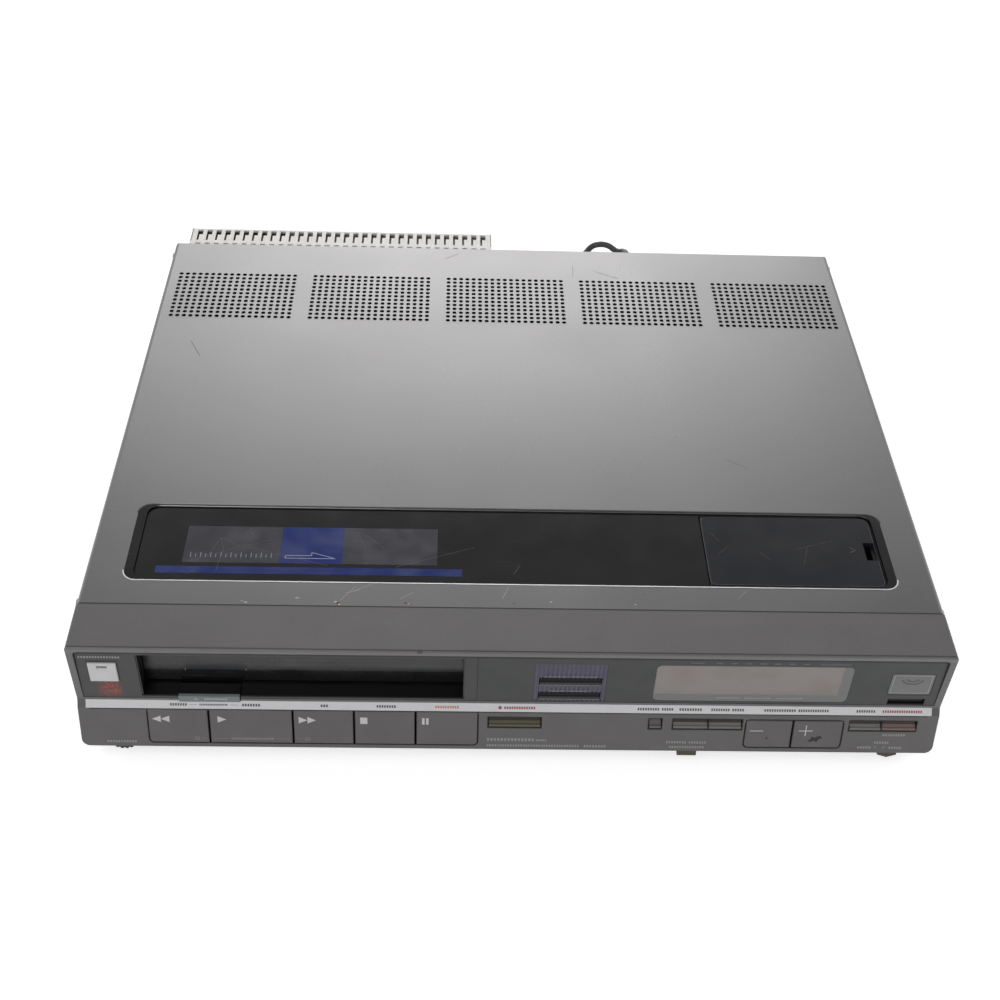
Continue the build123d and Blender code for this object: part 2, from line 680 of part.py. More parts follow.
def front_fascia():
    """Moulded front: nose, sloping key panel, bottom lip and the tongue that carries the cover."""
    body = profile_x(fascia_outline(), LEFT, RIGHT)
    body = fillet(corner_edges(body, Axis.Y, [(LEFT, LIP_Z), (RIGHT, LIP_Z)]), LIP_CORNER)
    nose = corner_edges(body, Axis.X, [(NOSE_Y, HEIGHT - NOSE_DROP)])
    sides = [e for e in body.edges() if e.center().Z > HEIGHT - NOSE_DROP and abs(abs(e.center().X) - RIGHT) < 0.01]
    body = fillet(nose + [e for e in sides if e.length > FASCIA_DEPTH / 2], NOSE_RADIUS)
    wall_low_y = STRIP_LOW_Y + LOWER_WALL / math.cos(SLOPE)
    inner_low_z = LIP_Z + BOTTOM_WALL
    inner_low_y = wall_low_y - (STRIP_LOW_Z - inner_low_z) * math.tan(SLOPE)
    cavity = profile_x(
        [
            (SEAM_Y + 1, HEIGHT - WALL),
            (PANEL_BACK_Y, HEIGHT - WALL),
            (PANEL_BACK_Y, PANEL_BOTTOM_Z - PANEL_FLANGE_LAP),
            (wall_low_y, STRIP_LOW_Z - 0.2),
            (inner_low_y, inner_low_z),
            (SEAM_Y + 1, inner_low_z),
        ],
        LEFT + WALL,
        RIGHT - WALL,
    )
    body -= cavity
    tongue = block(
        LEFT + COVER_SHEET + COVER_FIT, RIGHT - COVER_SHEET - COVER_FIT,
        SEAM_Y - SEAM_GAP - 3, SEAM_Y + TONGUE_LENGTH, LIP_Z + 4, HEIGHT - COVER_SHEET - COVER_FIT,
    )
    inside = block(
        LEFT + COVER_SHEET + COVER_FIT + TONGUE_THICKNESS,
        RIGHT - COVER_SHEET - COVER_FIT - TONGUE_THICKNESS,
        SEAM_Y - 5, SEAM_Y + TONGUE_LENGTH + 1, LIP_Z + 1,
        HEIGHT - COVER_SHEET - COVER_FIT - TONGUE_THICKNESS,
    )
    corner_z = HEIGHT - COVER_SHEET - COVER_FIT
    corners = [(LEFT + COVER_SHEET + COVER_FIT, corner_z), (RIGHT - COVER_SHEET - COVER_FIT, corner_z)]
    tongue = fillet(corner_edges(tongue, Axis.Y, corners), COVER_RADIUS - COVER_SHEET)
    body += tongue - inside
    body -= [rod(SCREW_RADIUS + 0.05, start, end) for start, end in side_screw_lines()]
    for u, v in ((LEFT + 17, -2.5), (22, -11), (58, -11)):
        boss = BOARD_BOSS / 2
        body += LOWER * block(u - boss, u + boss, v - boss, v + boss, KEY_BOARD_W, -LOWER_WALL / 2)
    window = block(
        PANEL_X0 - PANEL_FIT, PANEL_X1 + PANEL_FIT, NOSE_Y - 3,
        PANEL_BACK_Y + 0.1, PANEL_BOTTOM_Z - PANEL_FIT, PANEL_TOP_Z
    )
    window = fillet(corner_edges(window, Axis.Y, [(PANEL_X0 - PANEL_FIT, PANEL_TOP_Z),
                                                  (PANEL_X1 + PANEL_FIT, PANEL_TOP_Z)]), PANEL_CORNER)
    body -= window
    body -= profile_x(strip_section(0), LEFT + STRIP_END - STRIP_FIT, RIGHT - STRIP_END + STRIP_FIT)
    for spans, (v0, v1), corner in OPENINGS:
        u0 = spans[0][0] - BUTTON_FIT
        u1 = spans[-1][1] + BUTTON_FIT
        hole = block(u0, u1, v0 - BUTTON_FIT, v1 + BUTTON_FIT, -LOWER_WALL - 3, 2)
        if corner:
            hole = fillet(
                corner_edges(hole, Axis.Z, [(u0, v0 - BUTTON_FIT), (u1, v0 - BUTTON_FIT)]), corner,
            )
        body -= LOWER * hole
    body -= block(
        EJECT_X0 - EJECT_GAP, EJECT_X1 + EJECT_GAP, NOSE_Y - 1,
        PANEL_BACK_Y + 1, EJECT_LOW_Z - EJECT_GAP, PANEL_BOTTOM_Z
    )
    for middle, _ in SLIDERS.values():
        half = SLIDER_WIDTH / 2 + SLIDER_TRAVEL / 2 + SLIDER_FIT
        body -= LOWER * block(
            middle - half, middle + half, LIP_V - 3, LIP_V + LIP_CUT,
            WHEEL_W - SLIDER_THICKNESS - 2 * SLIDER_FIT, -LOWER_WALL,
        )
    wheel_half = math.sqrt(WHEEL_RADIUS**2 - (WHEEL_RADIUS - WHEEL_REACH - LIP_CUT) ** 2) + 0.6
    body -= LOWER * block(
        WHEEL_X - wheel_half, WHEEL_X + wheel_half, LIP_V - 3, LIP_V + LIP_CUT,
        WHEEL_W - WHEEL_THICKNESS - 0.6, -LOWER_WALL,
    )
    return body


def trim_strip():
    """Bright strip set into the groove between the two panels."""
    return profile_x(strip_section(0), LEFT + STRIP_END, RIGHT - STRIP_END)


def panel_plate(x0, x1, left_round):
    """Front plate of one upper panel with the flange that holds it from behind."""
    plate = block(x0, x1, PANEL_Y, PANEL_BACK_Y, PANEL_BOTTOM_Z, PANEL_FACE_TOP_Z)
    corner_x = x0 if left_round else x1
    plate = fillet(corner_edges(plate, Axis.Y, [(corner_x, PANEL_FACE_TOP_Z)]), PANEL_CORNER)
    outer_x0 = x0 - PANEL_FLANGE_LAP if left_round else x0
    outer_x1 = x1 if left_round else x1 + PANEL_FLANGE_LAP
    flange = block(
        outer_x0, outer_x1, PANEL_BACK_Y, PANEL_BACK_Y + PANEL_FLANGE,
        PANEL_BOTTOM_Z - PANEL_FLANGE_LAP + 0.2, PANEL_TOP_Z + PANEL_FLANGE_LAP,
    )
    return plate + flange


def cassette_bezel():
    """Left upper panel with the cassette slot, its tunnel and the bores of the door."""
    body = panel_plate(PANEL_X0, PANEL_SPLIT_X - PANEL_FIT / 2, True)
    outer = block(
        SLOT_X0 - TUNNEL_WALL, SLOT_X1 + TUNNEL_WALL, PANEL_BACK_Y, TUNNEL_BACK_Y,
        SLOT_BOTTOM_Z - TUNNEL_WALL, TUNNEL_TOP_Z + TUNNEL_WALL,
    )
    body += outer
    body -= block(SLOT_X0, SLOT_X1, PANEL_Y - 1, TUNNEL_BACK_Y + 1, SLOT_BOTTOM_Z, SLOT_TOP_Z)
    body -= block(SLOT_X0, SLOT_X1, PANEL_BACK_Y, TUNNEL_BACK_Y + 1, SLOT_BOTTOM_Z, TUNNEL_TOP_Z)
    for side, inward in ((SLOT_X0, 1), (SLOT_X1, -1)):
        for i in range(GUIDE_RIBS):
            y = PANEL_Y + 0.6 + i * GUIDE_RIB_PITCH
            x0, x1 = sorted((side, side + inward * GUIDE_RIB))
            body += block(x0, x1, y, y + GUIDE_RIB_WIDTH, SLOT_BOTTOM_Z, SLOT_TOP_Z)
    bore = DOOR_PIN_RADIUS + DOOR_PIN_FIT
    for side in (SLOT_X0, SLOT_X1):
        body -= rod(
            bore, (side - TUNNEL_WALL - 1, DOOR_AXIS_Y, DOOR_AXIS_Z),
            (side + TUNNEL_WALL + 1, DOOR_AXIS_Y, DOOR_AXIS_Z),
        )
    body -= block(
        EJECT_X0 - EJECT_GAP, EJECT_X1 + EJECT_GAP, PANEL_Y - 1,
        NOSE_Y + EJECT_DEPTH + BUTTON_TRAVEL + 1,
        PANEL_BOTTOM_Z - 3, EJECT_TOP_Z + EJECT_GAP,
    )
    body -= block(
        POWER_X0 - POWER_FIT, POWER_X1 + POWER_FIT, PANEL_Y - 1, PANEL_BACK_Y + 0.1,
        POWER_LOW_Z - POWER_FIT, POWER_TOP_Z + POWER_FIT,
    )
    body -= block(
        PANEL_X0 + 1.2, SLOT_X0 - TUNNEL_WALL - 1, PANEL_BACK_Y, PANEL_BACK_Y + PANEL_FLANGE + 1,
        PANEL_BOTTOM_Z + 1.2, PANEL_FACE_TOP_Z - 1.2,
    )
    return body


def display_panel():
    """Right upper panel: ribbed key area, display shroud and sensor window."""
    body = panel_plate(PANEL_SPLIT_X + PANEL_FIT / 2, PANEL_X1, False)
    body -= block(
        PANEL_SPLIT_X + 3, PANEL_X1 - 2, PANEL_BACK_Y, PANEL_BACK_Y + PANEL_FLANGE + 1,
        PANEL_BOTTOM_Z + 1.0, PANEL_FACE_TOP_Z - 1.2,
    )
    rib_pitch = RIBBED_WIDTH / RIB_COUNT
    body -= block(
        RIBBED_X0, RIBBED_X0 + RIBBED_WIDTH, PANEL_Y - 1, PANEL_Y + RIBBED_RELIEF,
        RIBBED_TOP_Z - RIBBED_HEIGHT, RIBBED_TOP_Z,
    )
    for i in range(RIB_COUNT):
        x = RIBBED_X0 + (i + 0.25) * rib_pitch
        body += block(
            x, x + rib_pitch / 2, PANEL_Y, PANEL_Y + RIBBED_RELIEF, RIBBED_TOP_Z - RIBBED_HEIGHT,
            RIBBED_TOP_Z,
        )
    for top in COUNTERS.values():
        body -= block(
            COUNTER_X0 - BUTTON_FIT, COUNTER_X0 + COUNTER_WIDTH + BUTTON_FIT,
            PANEL_Y - 1, PANEL_BACK_Y + 0.1,
            top - COUNTER_HEIGHT - BUTTON_FIT, top + BUTTON_FIT,
        )
    window = block(
        WINDOW_X0, WINDOW_X1, PANEL_Y - 1, PANEL_Y + PANE_THICKNESS, WINDOW_LOW_Z, WINDOW_TOP_Z,
    )
    body -= rounded(window, Axis.Y, WINDOW_CORNER)
    shroud = block(
        WINDOW_X0 + PANE_LEDGE - SHROUD_WALL,
        WINDOW_X1 - PANE_LEDGE + SHROUD_WALL, PANEL_BACK_Y, SCREEN_Y,
        WINDOW_LOW_Z + PANE_LEDGE - SHROUD_WALL, WINDOW_TOP_Z - PANE_LEDGE + SHROUD_WALL,
    )
    body += shroud
    body -= block(
        WINDOW_X0 + PANE_LEDGE, WINDOW_X1 - PANE_LEDGE, PANEL_Y, SCREEN_Y + 1,
        WINDOW_LOW_Z + PANE_LEDGE, WINDOW_TOP_Z - PANE_LEDGE,
    )
    sensor = block(
        SENSOR_X0, SENSOR_X1, PANEL_Y - 1, PANEL_Y + PANE_THICKNESS, SENSOR_LOW_Z, SENSOR_TOP_Z,
    )
    body -= rounded(sensor, Axis.Y, 1.2)
    body -= block(
        SENSOR_X0 + PANE_LEDGE, SENSOR_X1 - PANE_LEDGE, PANEL_Y, PANEL_BACK_Y + 1,
        SENSOR_LOW_Z + PANE_LEDGE, SENSOR_TOP_Z - PANE_LEDGE,
    )
    width, height, depth = SENSOR_SLIT
    slit_x = (SENSOR_X0 + SENSOR_X1) / 2
    slit_top = SENSOR_LOW_Z - SENSOR_SLIT_DROP
    body -= block(
        slit_x - width / 2, slit_x + width / 2, PANEL_Y - 1, PANEL_Y + depth, slit_top - height,
        slit_top,
    )
    return body


def pane(x0, x1, z0, z1, corner):
    """Clear pane lying in a seat of the display panel."""
    body = block(
        x0 + PANE_FIT, x1 - PANE_FIT, PANEL_Y + 0.1, PANEL_Y + PANE_THICKNESS, z0 + PANE_FIT,
        z1 - PANE_FIT,
    )
    return rounded(body, Axis.Y, corner - PANE_FIT)


def fluorescent_display():
    """Flat display tube with its filter, between the shroud and the display board."""
    x0 = WINDOW_X0 + PANE_LEDGE - SHROUD_WALL
    x1 = WINDOW_X1 - PANE_LEDGE + SHROUD_WALL
    z0 = WINDOW_LOW_Z + PANE_LEDGE - SHROUD_WALL
    z1 = WINDOW_TOP_Z - PANE_LEDGE + SHROUD_WALL
    glass = block(x0, x1, SCREEN_Y, SCREEN_Y + 2.6, z0, z1)
    back = block(x0 + 2, x1 - 2, SCREEN_Y + 2.6, DISPLAY_BOARD_Y, z0 + 2, z1 - 2)
    return glass + back


# Buttons


def cap_block(u0, u1, v0, v1, back, proud, corners):
    """Flat key face with broken edges and rounded outer corners."""
    body = block(u0, u1, v0, v1, back, proud)
    edges = corner_edges(body, Axis.Z, corners)
    if edges:
        body = fillet(edges, KEY_CORNER - BUTTON_FIT)
    return chamfer(body.faces().sort_by(Axis.Z)[-1].edges(), EDGE_BREAK)


def bar_block(u0, u1, v0, v1, back, recess):
    """Bar key: a bright finger ledge along its foot and a face that leans back above it."""
    ledge = v0 + BAR_LEDGE
    points = [
        (v0, back), (v0, BAR_PROUD - 0.4), (v0 + 0.4, BAR_PROUD), (ledge, BAR_PROUD),
        (ledge + 0.3, BAR_PROUD - 0.8), (v1, -recess), (v1, back),
    ]
    face = make_face(Polyline(*[(u0, v, w) for v, w in points], close=True))
    return extrude(face, amount=u1 - u0, dir=(1, 0, 0))


def stem_and_flange(u0, u1, v0, v1, flange_front, low_lap, high_lap, board_w):
    """What lies behind a key's face: its stop flange and the stem that reaches the switch."""
    flange_back = flange_front - FLANGE_THICKNESS
    flange = block(u0, u1, v0 - low_lap, v1 + high_lap, flange_back, flange_front)
    u = (u0 + u1) / 2
    v = (v0 + v1) / 2
    stem_end = board_w + SWITCH_HEIGHT + BUTTON_TRAVEL + SWITCH_GAP
    half = min(STEM, v1 - v0) / 2
    return flange + block(u - half, u + half, v - half, v + half, stem_end, flange_back)


def key_button(span, index):
    """One of the five large transport keys."""
    u0, u1 = span
    v0, v1 = KEY_SPAN
    corners = []
    if index == 0:
        corners = [(u0, v0)]
    if index == len(KEYS) - 1:
        corners = [(u1, v0)]
    flange_front = -LOWER_WALL - STRIP_LAND_DEPTH
    cap = cap_block(u0, u1, v0, v1, flange_front, KEY_PROUD, corners)
    return LOWER * (cap + stem_and_flange(u0, u1, v0 + 1, v1, flange_front, 0, FLANGE_LAP, KEY_BOARD_W))


def small_button(span):
    """One of the narrow bar keys of the lower panel."""
    u0, u1 = span
    v0, v1 = SMALL_SPAN
    flange_front = -LOWER_WALL - FLANGE_GAP
    cap = bar_block(u0, u1, v0, v1, flange_front, LOWER_WALL)
    return LOWER * (
        cap + stem_and_flange(u0, u1, v0, v1, flange_front, FLANGE_LAP, FLANGE_LAP, KEY_BOARD_W)
    )


def rocker_button(span, corner_left):
    """One of the two channel keys."""
    u0, u1 = span
    v0, v1 = ROCKER_SPAN
    flange_front = -LOWER_WALL - FLANGE_GAP
    corners = [(u0, v0)] if corner_left else [(u1, v0)]
    cap = cap_block(u0, u1, v0, v1, flange_front, KEY_PROUD, corners)
    return LOWER * (cap + stem_and_flange(u0, u1, v0 + 1, v1, flange_front, 0, FLANGE_LAP, KEY_BOARD_W))


def counter_button(top):
    """One of the two bar keys in the ribbed area of the display panel."""
    board_w = PANEL_Y - DISPLAY_BOARD_Y
    flange_front = -PANEL_THICKNESS - FLANGE_GAP
    u0 = COUNTER_X0
    u1 = COUNTER_X0 + COUNTER_WIDTH
    v0 = top - COUNTER_HEIGHT
    cap = bar_block(u0, u1, v0, top, flange_front, COUNTER_RECESS)
    return UPPER * (cap + stem_and_flange(u0, u1, v0, top, flange_front, FLANGE_LAP, FLANGE_LAP, board_w))


def power_button():
    """Pale push button with a dark slit near its top."""
    flange_front = -PANEL_THICKNESS - FLANGE_GAP
    cap = cap_block(POWER_X0, POWER_X1, POWER_LOW_Z, POWER_TOP_Z, flange_front, POWER_PROUD, [])
    width, height, depth = POWER_SLIT
    middle = (POWER_X0 + POWER_X1) / 2
    slit_top = POWER_TOP_Z - 2.2
    cap -= block(
        middle - width / 2, middle + width / 2, slit_top - height, slit_top, POWER_PROUD - depth,
        POWER_PROUD + 1,
    )
    back = flange_front - FLANGE_THICKNESS
    v = (POWER_LOW_Z + POWER_TOP_Z) / 2
    flange = block(
        POWER_X0 - FLANGE_LAP, POWER_X1 + FLANGE_LAP, POWER_LOW_Z - FLANGE_LAP,
        POWER_TOP_Z + FLANGE_LAP, back, flange_front
    )
    stem_end = PANEL_Y - DISPLAY_BOARD_Y + SWITCH_HEIGHT + POWER_TRAVEL + SWITCH_GAP
    stem = block(middle - STEM / 2, middle + STEM / 2, v - STEM / 2, v + STEM / 2, stem_end, back)
    return UPPER * (cap + flange + stem)


def eject_button():
    """Tab at the slot's foot that hangs over the bright strip, with a leg down to its switch."""
    face_y = NOSE_Y + EJECT_SET
    body = block(EJECT_X0, EJECT_X1, face_y, NOSE_Y + EJECT_DEPTH, EJECT_LOW_Z, EJECT_TOP_Z)
    body = chamfer(corner_edges(body, Axis.X, [(face_y, EJECT_TOP_Z)]), EDGE_BREAK)
    width, thick, drop = EJECT_LEG
    middle = (EJECT_X0 + EJECT_X1) / 2
    leg_back = NOSE_Y + EJECT_LEG_BACK
    return body + block(
        middle - width / 2, middle + width / 2, leg_back - thick,
        leg_back, EJECT_LOW_Z - drop, EJECT_LOW_Z
    )


def slider_knob(middle, point):
    """Slide knob whose finger tip shows under the lip; a point on its tip marks the setting."""
    front = WHEEL_W
    back = front - SLIDER_THICKNESS
    half = SLIDER_WIDTH / 2
    low = LIP_V - SLIDER_REACH
    foot = LIP_V + LIP_CUT - SLIDER_FIT
    outline = [(middle - half, foot), (middle - half, low + point), (middle, low),
               (middle + half, low + point), (middle + half, foot)]
    if not point:
        outline.pop(2)
    edge = Polyline(*[(u, v, back) for u, v in outline], close=True)
    tip = extrude(make_face(edge), amount=SLIDER_THICKNESS, dir=(0, 0, 1))
    wide = SLIDER_BODY[0] / 2
    body = block(middle - wide, middle + wide, foot, foot + SLIDER_BODY[1], back, front)
    pin = block(
        middle - 1.5, middle + 1.5, BOARD_LOW_V + 0.6, BOARD_LOW_V + 2.8,
        KEY_BOARD_W + SWITCH_HEIGHT + SWITCH_GAP, back,
    )
    return LOWER * (tip + body + pin)


def tracking_wheel():
    """Knurled thumbwheel behind the lip, on the spindle of its control."""
    front = WHEEL_W
    back = front - WHEEL_THICKNESS
    disc = Pos(WHEEL_X, WHEEL_V, back) * Cylinder(
        WHEEL_RADIUS, WHEEL_THICKNESS, align=(Align.CENTER, Align.CENTER, Align.MIN)
    )
    for i in range(WHEEL_GROOVES):
        u, v = polar((WHEEL_X, WHEEL_V), WHEEL_RADIUS, 360 * i / WHEEL_GROOVES)
        turn = Rot(0, 0, 360 * i / WHEEL_GROOVES + 45)
        notch = Box(2 * WHEEL_GROOVE_RADIUS, 2 * WHEEL_GROOVE_RADIUS, WHEEL_THICKNESS + 1)
        disc -= Pos(u, v, (front + back) / 2) * turn * notch
    bore = WHEEL_AXLE_RADIUS + WHEEL_AXLE_FIT
    disc -= rod(bore, (WHEEL_X, WHEEL_V, back - 1), (WHEEL_X, WHEEL_V, back + WHEEL_THICKNESS - 1))
    return LOWER * disc


def front_boards():
    """Board behind the key panel, board behind the display, and the power switch board."""
    v0 = BOARD_LOW_V
    v1 = 4.6
    keys = block(LEFT + 8, RIGHT - 8, v0, v1, KEY_BOARD_W - BOARD_THICKNESS, KEY_BOARD_W)
    switch_w = KEY_BOARD_W + SWITCH_HEIGHT
    half = SWITCH_SIZE / 2
    for spans, (low, high), _ in OPENINGS:
        for u0, u1 in spans:
            u = (u0 + u1) / 2
            v = (low + high) / 2
            keys += block(u - half, u + half, v - half, v + half, KEY_BOARD_W, switch_w)
    eject_x = (EJECT_X0 + EJECT_X1) / 2
    keys += block(eject_x - half, eject_x + half, v1 - 5.2, v1 - 0.6, KEY_BOARD_W, switch_w)
    keys += rod(WHEEL_AXLE_RADIUS, (WHEEL_X, WHEEL_V, KEY_BOARD_W), (WHEEL_X, WHEEL_V, WHEEL_W - 1.2))
    keys += block(
        WHEEL_X - 5, WHEEL_X + 5, WHEEL_V - 1.0, WHEEL_V + 9,
        KEY_BOARD_W, WHEEL_W - WHEEL_THICKNESS - FLANGE_GAP
    )
    for middle, _ in SLIDERS.values():
        keys += block(middle - 6, middle + 6, v0, v0 + 3.4, KEY_BOARD_W, switch_w)
    key_board = LOWER * keys
    display = block(
        PANEL_SPLIT_X + 6, PANEL_X1 - 1, DISPLAY_BOARD_Y, DISPLAY_BOARD_Y + BOARD_THICKNESS,
        DISPLAY_BOARD_LOW_Z, DISPLAY_BOARD_TOP_Z,
    )
    counter_x = COUNTER_X0 + COUNTER_WIDTH / 2
    for top in COUNTERS.values():
        z = top - COUNTER_HEIGHT / 2
        display += block(
            counter_x - half, counter_x + half, DISPLAY_BOARD_Y - SWITCH_HEIGHT,
            DISPLAY_BOARD_Y, z - half, z + half
        )
    sensor_x = (SENSOR_X0 + SENSOR_X1) / 2
    sensor_z = (SENSOR_LOW_Z + SENSOR_TOP_Z) / 2
    lens_y = PANEL_BACK_Y + 1.0
    display += block(
        sensor_x - 9, sensor_x + 9, lens_y + 3.5, DISPLAY_BOARD_Y, sensor_z - 6.5, sensor_z + 6.5,
    )
    display += facet_bar(
        SENSOR_LENS_RADIUS, (sensor_x, lens_y + 3.5, sensor_z), (sensor_x, lens_y + 0.2, sensor_z), 12,
        SENSOR_LENS_RADIUS - 2.5,
    )
    power_x1 = SLOT_X0 - TUNNEL_WALL - 1.0
    power = block(
        LEFT + WALL + 0.3, power_x1, DISPLAY_BOARD_Y, DISPLAY_BOARD_Y + BOARD_THICKNESS,
        DISPLAY_BOARD_LOW_Z, DISPLAY_BOARD_TOP_Z,
    )
    px = (POWER_X0 + POWER_X1) / 2
    pz = (POWER_LOW_Z + POWER_TOP_Z) / 2
    power += block(px - 5, px + 5, DISPLAY_BOARD_Y - SWITCH_HEIGHT, DISPLAY_BOARD_Y, pz - 5, pz + 5)
    return [key_board, display, power]


def cassette_door():
    """Spring-loaded flap that closes the slot and swings in and up."""
    x0 = SLOT_X0 + DOOR_SIDE_GAP
    x1 = SLOT_X1 - DOOR_SIDE_GAP
    low = SLOT_BOTTOM_Z + DOOR_FOOT_GAP
    flap = block(x0, x1, DOOR_FRONT_Y, DOOR_AXIS_Y, low, DOOR_AXIS_Z)
    flap = fillet(corner_edges(flap, Axis.X, [(DOOR_FRONT_Y, low)]), 0.8)
    barrel = rod(DOOR_BARREL_RADIUS, (x0, DOOR_AXIS_Y, DOOR_AXIS_Z), (x1, DOOR_AXIS_Y, DOOR_AXIS_Z))
    reach = TUNNEL_WALL
    pins = rod(
        DOOR_PIN_RADIUS, (SLOT_X0 - reach, DOOR_AXIS_Y, DOOR_AXIS_Z),
        (SLOT_X1 + reach, DOOR_AXIS_Y, DOOR_AXIS_Z),
    )
    ribs = Part()
    for share in (0.2, 0.5, 0.8):
        x = x0 + share * (x1 - x0)
        ribs += block(x - 0.6, x + 0.6, DOOR_AXIS_Y - 0.1, DOOR_AXIS_Y + 0.9, low + 3, DOOR_AXIS_Z - 3)
    return flap + barrel + pins + ribs


# Cover, glazing and presets


def recess_plate(x0, x1, y0, y1, z0, z1, radius):
    """Plate with rounded corners in plan."""
    return rounded(block(x0, x1, y0, y1, z0, z1), Axis.Z, radius)


def top_cover():
    """Folded steel cover with the glazed recess and five fields of vents."""
    low = FOOT_HEIGHT + SKIRT
    outer = block(LEFT, RIGHT, SEAM_Y, COVER_BACK_Y, low, HEIGHT)
    outer = fillet(corner_edges(outer, Axis.Y, [(LEFT, HEIGHT), (RIGHT, HEIGHT)]), COVER_RADIUS)
    inner = block(
        LEFT + COVER_SHEET, RIGHT - COVER_SHEET, SEAM_Y - 1, COVER_BACK_Y + 1, low - 1,
        HEIGHT - COVER_SHEET,
    )
    inner = fillet(
        corner_edges(inner, Axis.Y, [(LEFT + COVER_SHEET, HEIGHT - COVER_SHEET), (RIGHT - COVER_SHEET, HEIGHT - COVER_SHEET)]),
        COVER_RADIUS - COVER_SHEET,
    )
    body = outer - inner
    body += recess_plate(
        RECESS_X0 - RIM_WIDTH, RECESS_X1 + RIM_WIDTH, RECESS_Y0 - RIM_WIDTH, RECESS_Y1 + RIM_WIDTH,
        HEIGHT - RIM_DEPTH, HEIGHT - COVER_SHEET / 2, RECESS_CORNER + RIM_WIDTH,
    )
    hole = recess_plate(
        RECESS_X0, RECESS_X1, RECESS_Y0, RECESS_Y1, HEIGHT - RIM_DEPTH - 1, HEIGHT + 1, RECESS_CORNER,
    )
    body -= hole
    rim = [
        e for e in body.edges()
        if abs(e.center().Z - HEIGHT) < 0.01 and RECESS_X0 - 1 < e.center().X < RECESS_X1 + 1
        and RECESS_Y0 - 1 < e.center().Y < RECESS_Y1 + 1
    ]
    body = chamfer(rim, RECESS_BEVEL / 2)
    slots = []
    y1 = COVER_BACK_Y - VENT_BACK
    for group in range(VENT_GROUPS):
        middle = (group - (VENT_GROUPS - 1) / 2) * VENT_GROUP_PITCH
        for column in range(VENT_COLUMNS):
            x = middle + (column - (VENT_COLUMNS - 1) / 2) * VENT_PITCH
            slots.append(
                block(x - VENT_WIDTH / 2, x + VENT_WIDTH / 2, y1 - VENT_LENGTH, y1, HEIGHT - 5, HEIGHT + 1),
            )
    body -= slots
    holes = [rod(SCREW_RADIUS + 0.3, start, end) for start, end in side_screw_lines()]
    return body - holes


def side_screw_lines():
    """Centre lines of the four cover screws, from outside the cover inwards."""
    lines = []
    for side in (-1, 1):
        for y in (SEAM_Y + SCREW_FRONT, COVER_BACK_Y - SCREW_BACK):
            z = HEIGHT - SCREW_DROP
            lines.append(((side * (RIGHT + 2), y, z), (side * (RIGHT - 8), y, z)))
    return lines


def top_window():
    """Smoked glazing of the recess with an opening for the lid and bores for its pins."""
    body = recess_plate(
        RECESS_X0 + GLASS_FIT, RECESS_X1 - GLASS_FIT, RECESS_Y0 + GLASS_FIT, RECESS_Y1 - GLASS_FIT,
        GLASS_LOW_Z, GLASS_TOP_Z, RECESS_CORNER - GLASS_FIT,
    )
    body -= block(
        LID_X0 - LID_FIT, LID_X1 + LID_FIT, LID_Y0 - LID_FIT, LID_Y1 + LID_FIT, GLASS_LOW_Z - 1,
        GLASS_TOP_Z + 1,
    )
    bore = LID_PIN_RADIUS + LID_PIN_FIT
    return body - rod(
        bore, (LID_AXIS_X, LID_Y0 - LID_PIN_LENGTH - LID_FIT, LID_AXIS_Z),
        (LID_AXIS_X, LID_Y1 + LID_PIN_LENGTH + LID_FIT, LID_AXIS_Z),
    )


def preset_lid():
    """Hinged lid over the presets: round left edge with pins, finger notch at the right."""
    low = GLASS_LOW_Z + LID_LIFT
    plate = block(LID_AXIS_X, LID_X1, LID_Y0, LID_Y1, low, GLASS_TOP_Z)
    barrel = rod(LID_BARREL_RADIUS, (LID_AXIS_X, LID_Y0, LID_AXIS_Z), (LID_AXIS_X, LID_Y1, LID_AXIS_Z))
    pins = rod(
        LID_PIN_RADIUS,
        (LID_AXIS_X, LID_Y0 - LID_PIN_LENGTH, LID_AXIS_Z),
        (LID_AXIS_X, LID_Y1 + LID_PIN_LENGTH, LID_AXIS_Z),
    )
    plate -= block(
        LID_X1 - NOTCH_DEPTH, LID_X1 + 1, NOTCH_Y0, NOTCH_Y0 + NOTCH_WIDTH, low - 1, GLASS_TOP_Z + 1,
    )
    return plate + barrel + pins


def preset_tray():
    """Moulding under the glazing: sight opening over the cassette and the well for the presets."""
    top = GLASS_LOW_Z
    margin = RIM_WIDTH - 0.5
    flange = recess_plate(
        RECESS_X0 - margin, RECESS_X1 + margin, RECESS_Y0 - margin,
        RECESS_Y1 + margin, top - TRAY_WALL, top, RECESS_CORNER
    )
    well_x0 = LID_X0 + TRAY_MARGIN
    well_x1 = LID_X1 - NOTCH_DEPTH - 2
    well_y0 = LID_Y0 + TRAY_MARGIN
    well_y1 = LID_Y1 - TRAY_MARGIN
    well = block(
        well_x0 - TRAY_WALL, LID_X1, well_y0 - TRAY_WALL,
        well_y1 + TRAY_WALL, top - TRAY_DEPTH - TRAY_WALL, top - TRAY_WALL
    )
    body = flange + well
    body -= block(well_x0, well_x1, well_y0, well_y1, top - TRAY_DEPTH, top + 1)
    body -= block(
        LID_X1 - NOTCH_DEPTH, LID_X1 - TRAY_WALL, NOTCH_Y0,
        NOTCH_Y0 + NOTCH_WIDTH, top - TRAY_DEPTH / 2, top + 1
    )
    sight_x0 = LEFT + SIGHT_INSET
    sight_y0 = RECESS_Y0 + SIGHT_FRONT
    body -= block(
        sight_x0, sight_x0 + SIGHT_WIDTH, sight_y0, sight_y0 + SIGHT_LENGTH, top - TRAY_DEPTH, top + 1,
    )
    post_x, post_y = tuner_centre()
    floor = top - TRAY_DEPTH
    body += rod(
        TUNER_POST_RADIUS, (post_x, post_y, floor - 0.5), (post_x, post_y, floor + 0.3 + TUNER_HEIGHT),
    )
    return body


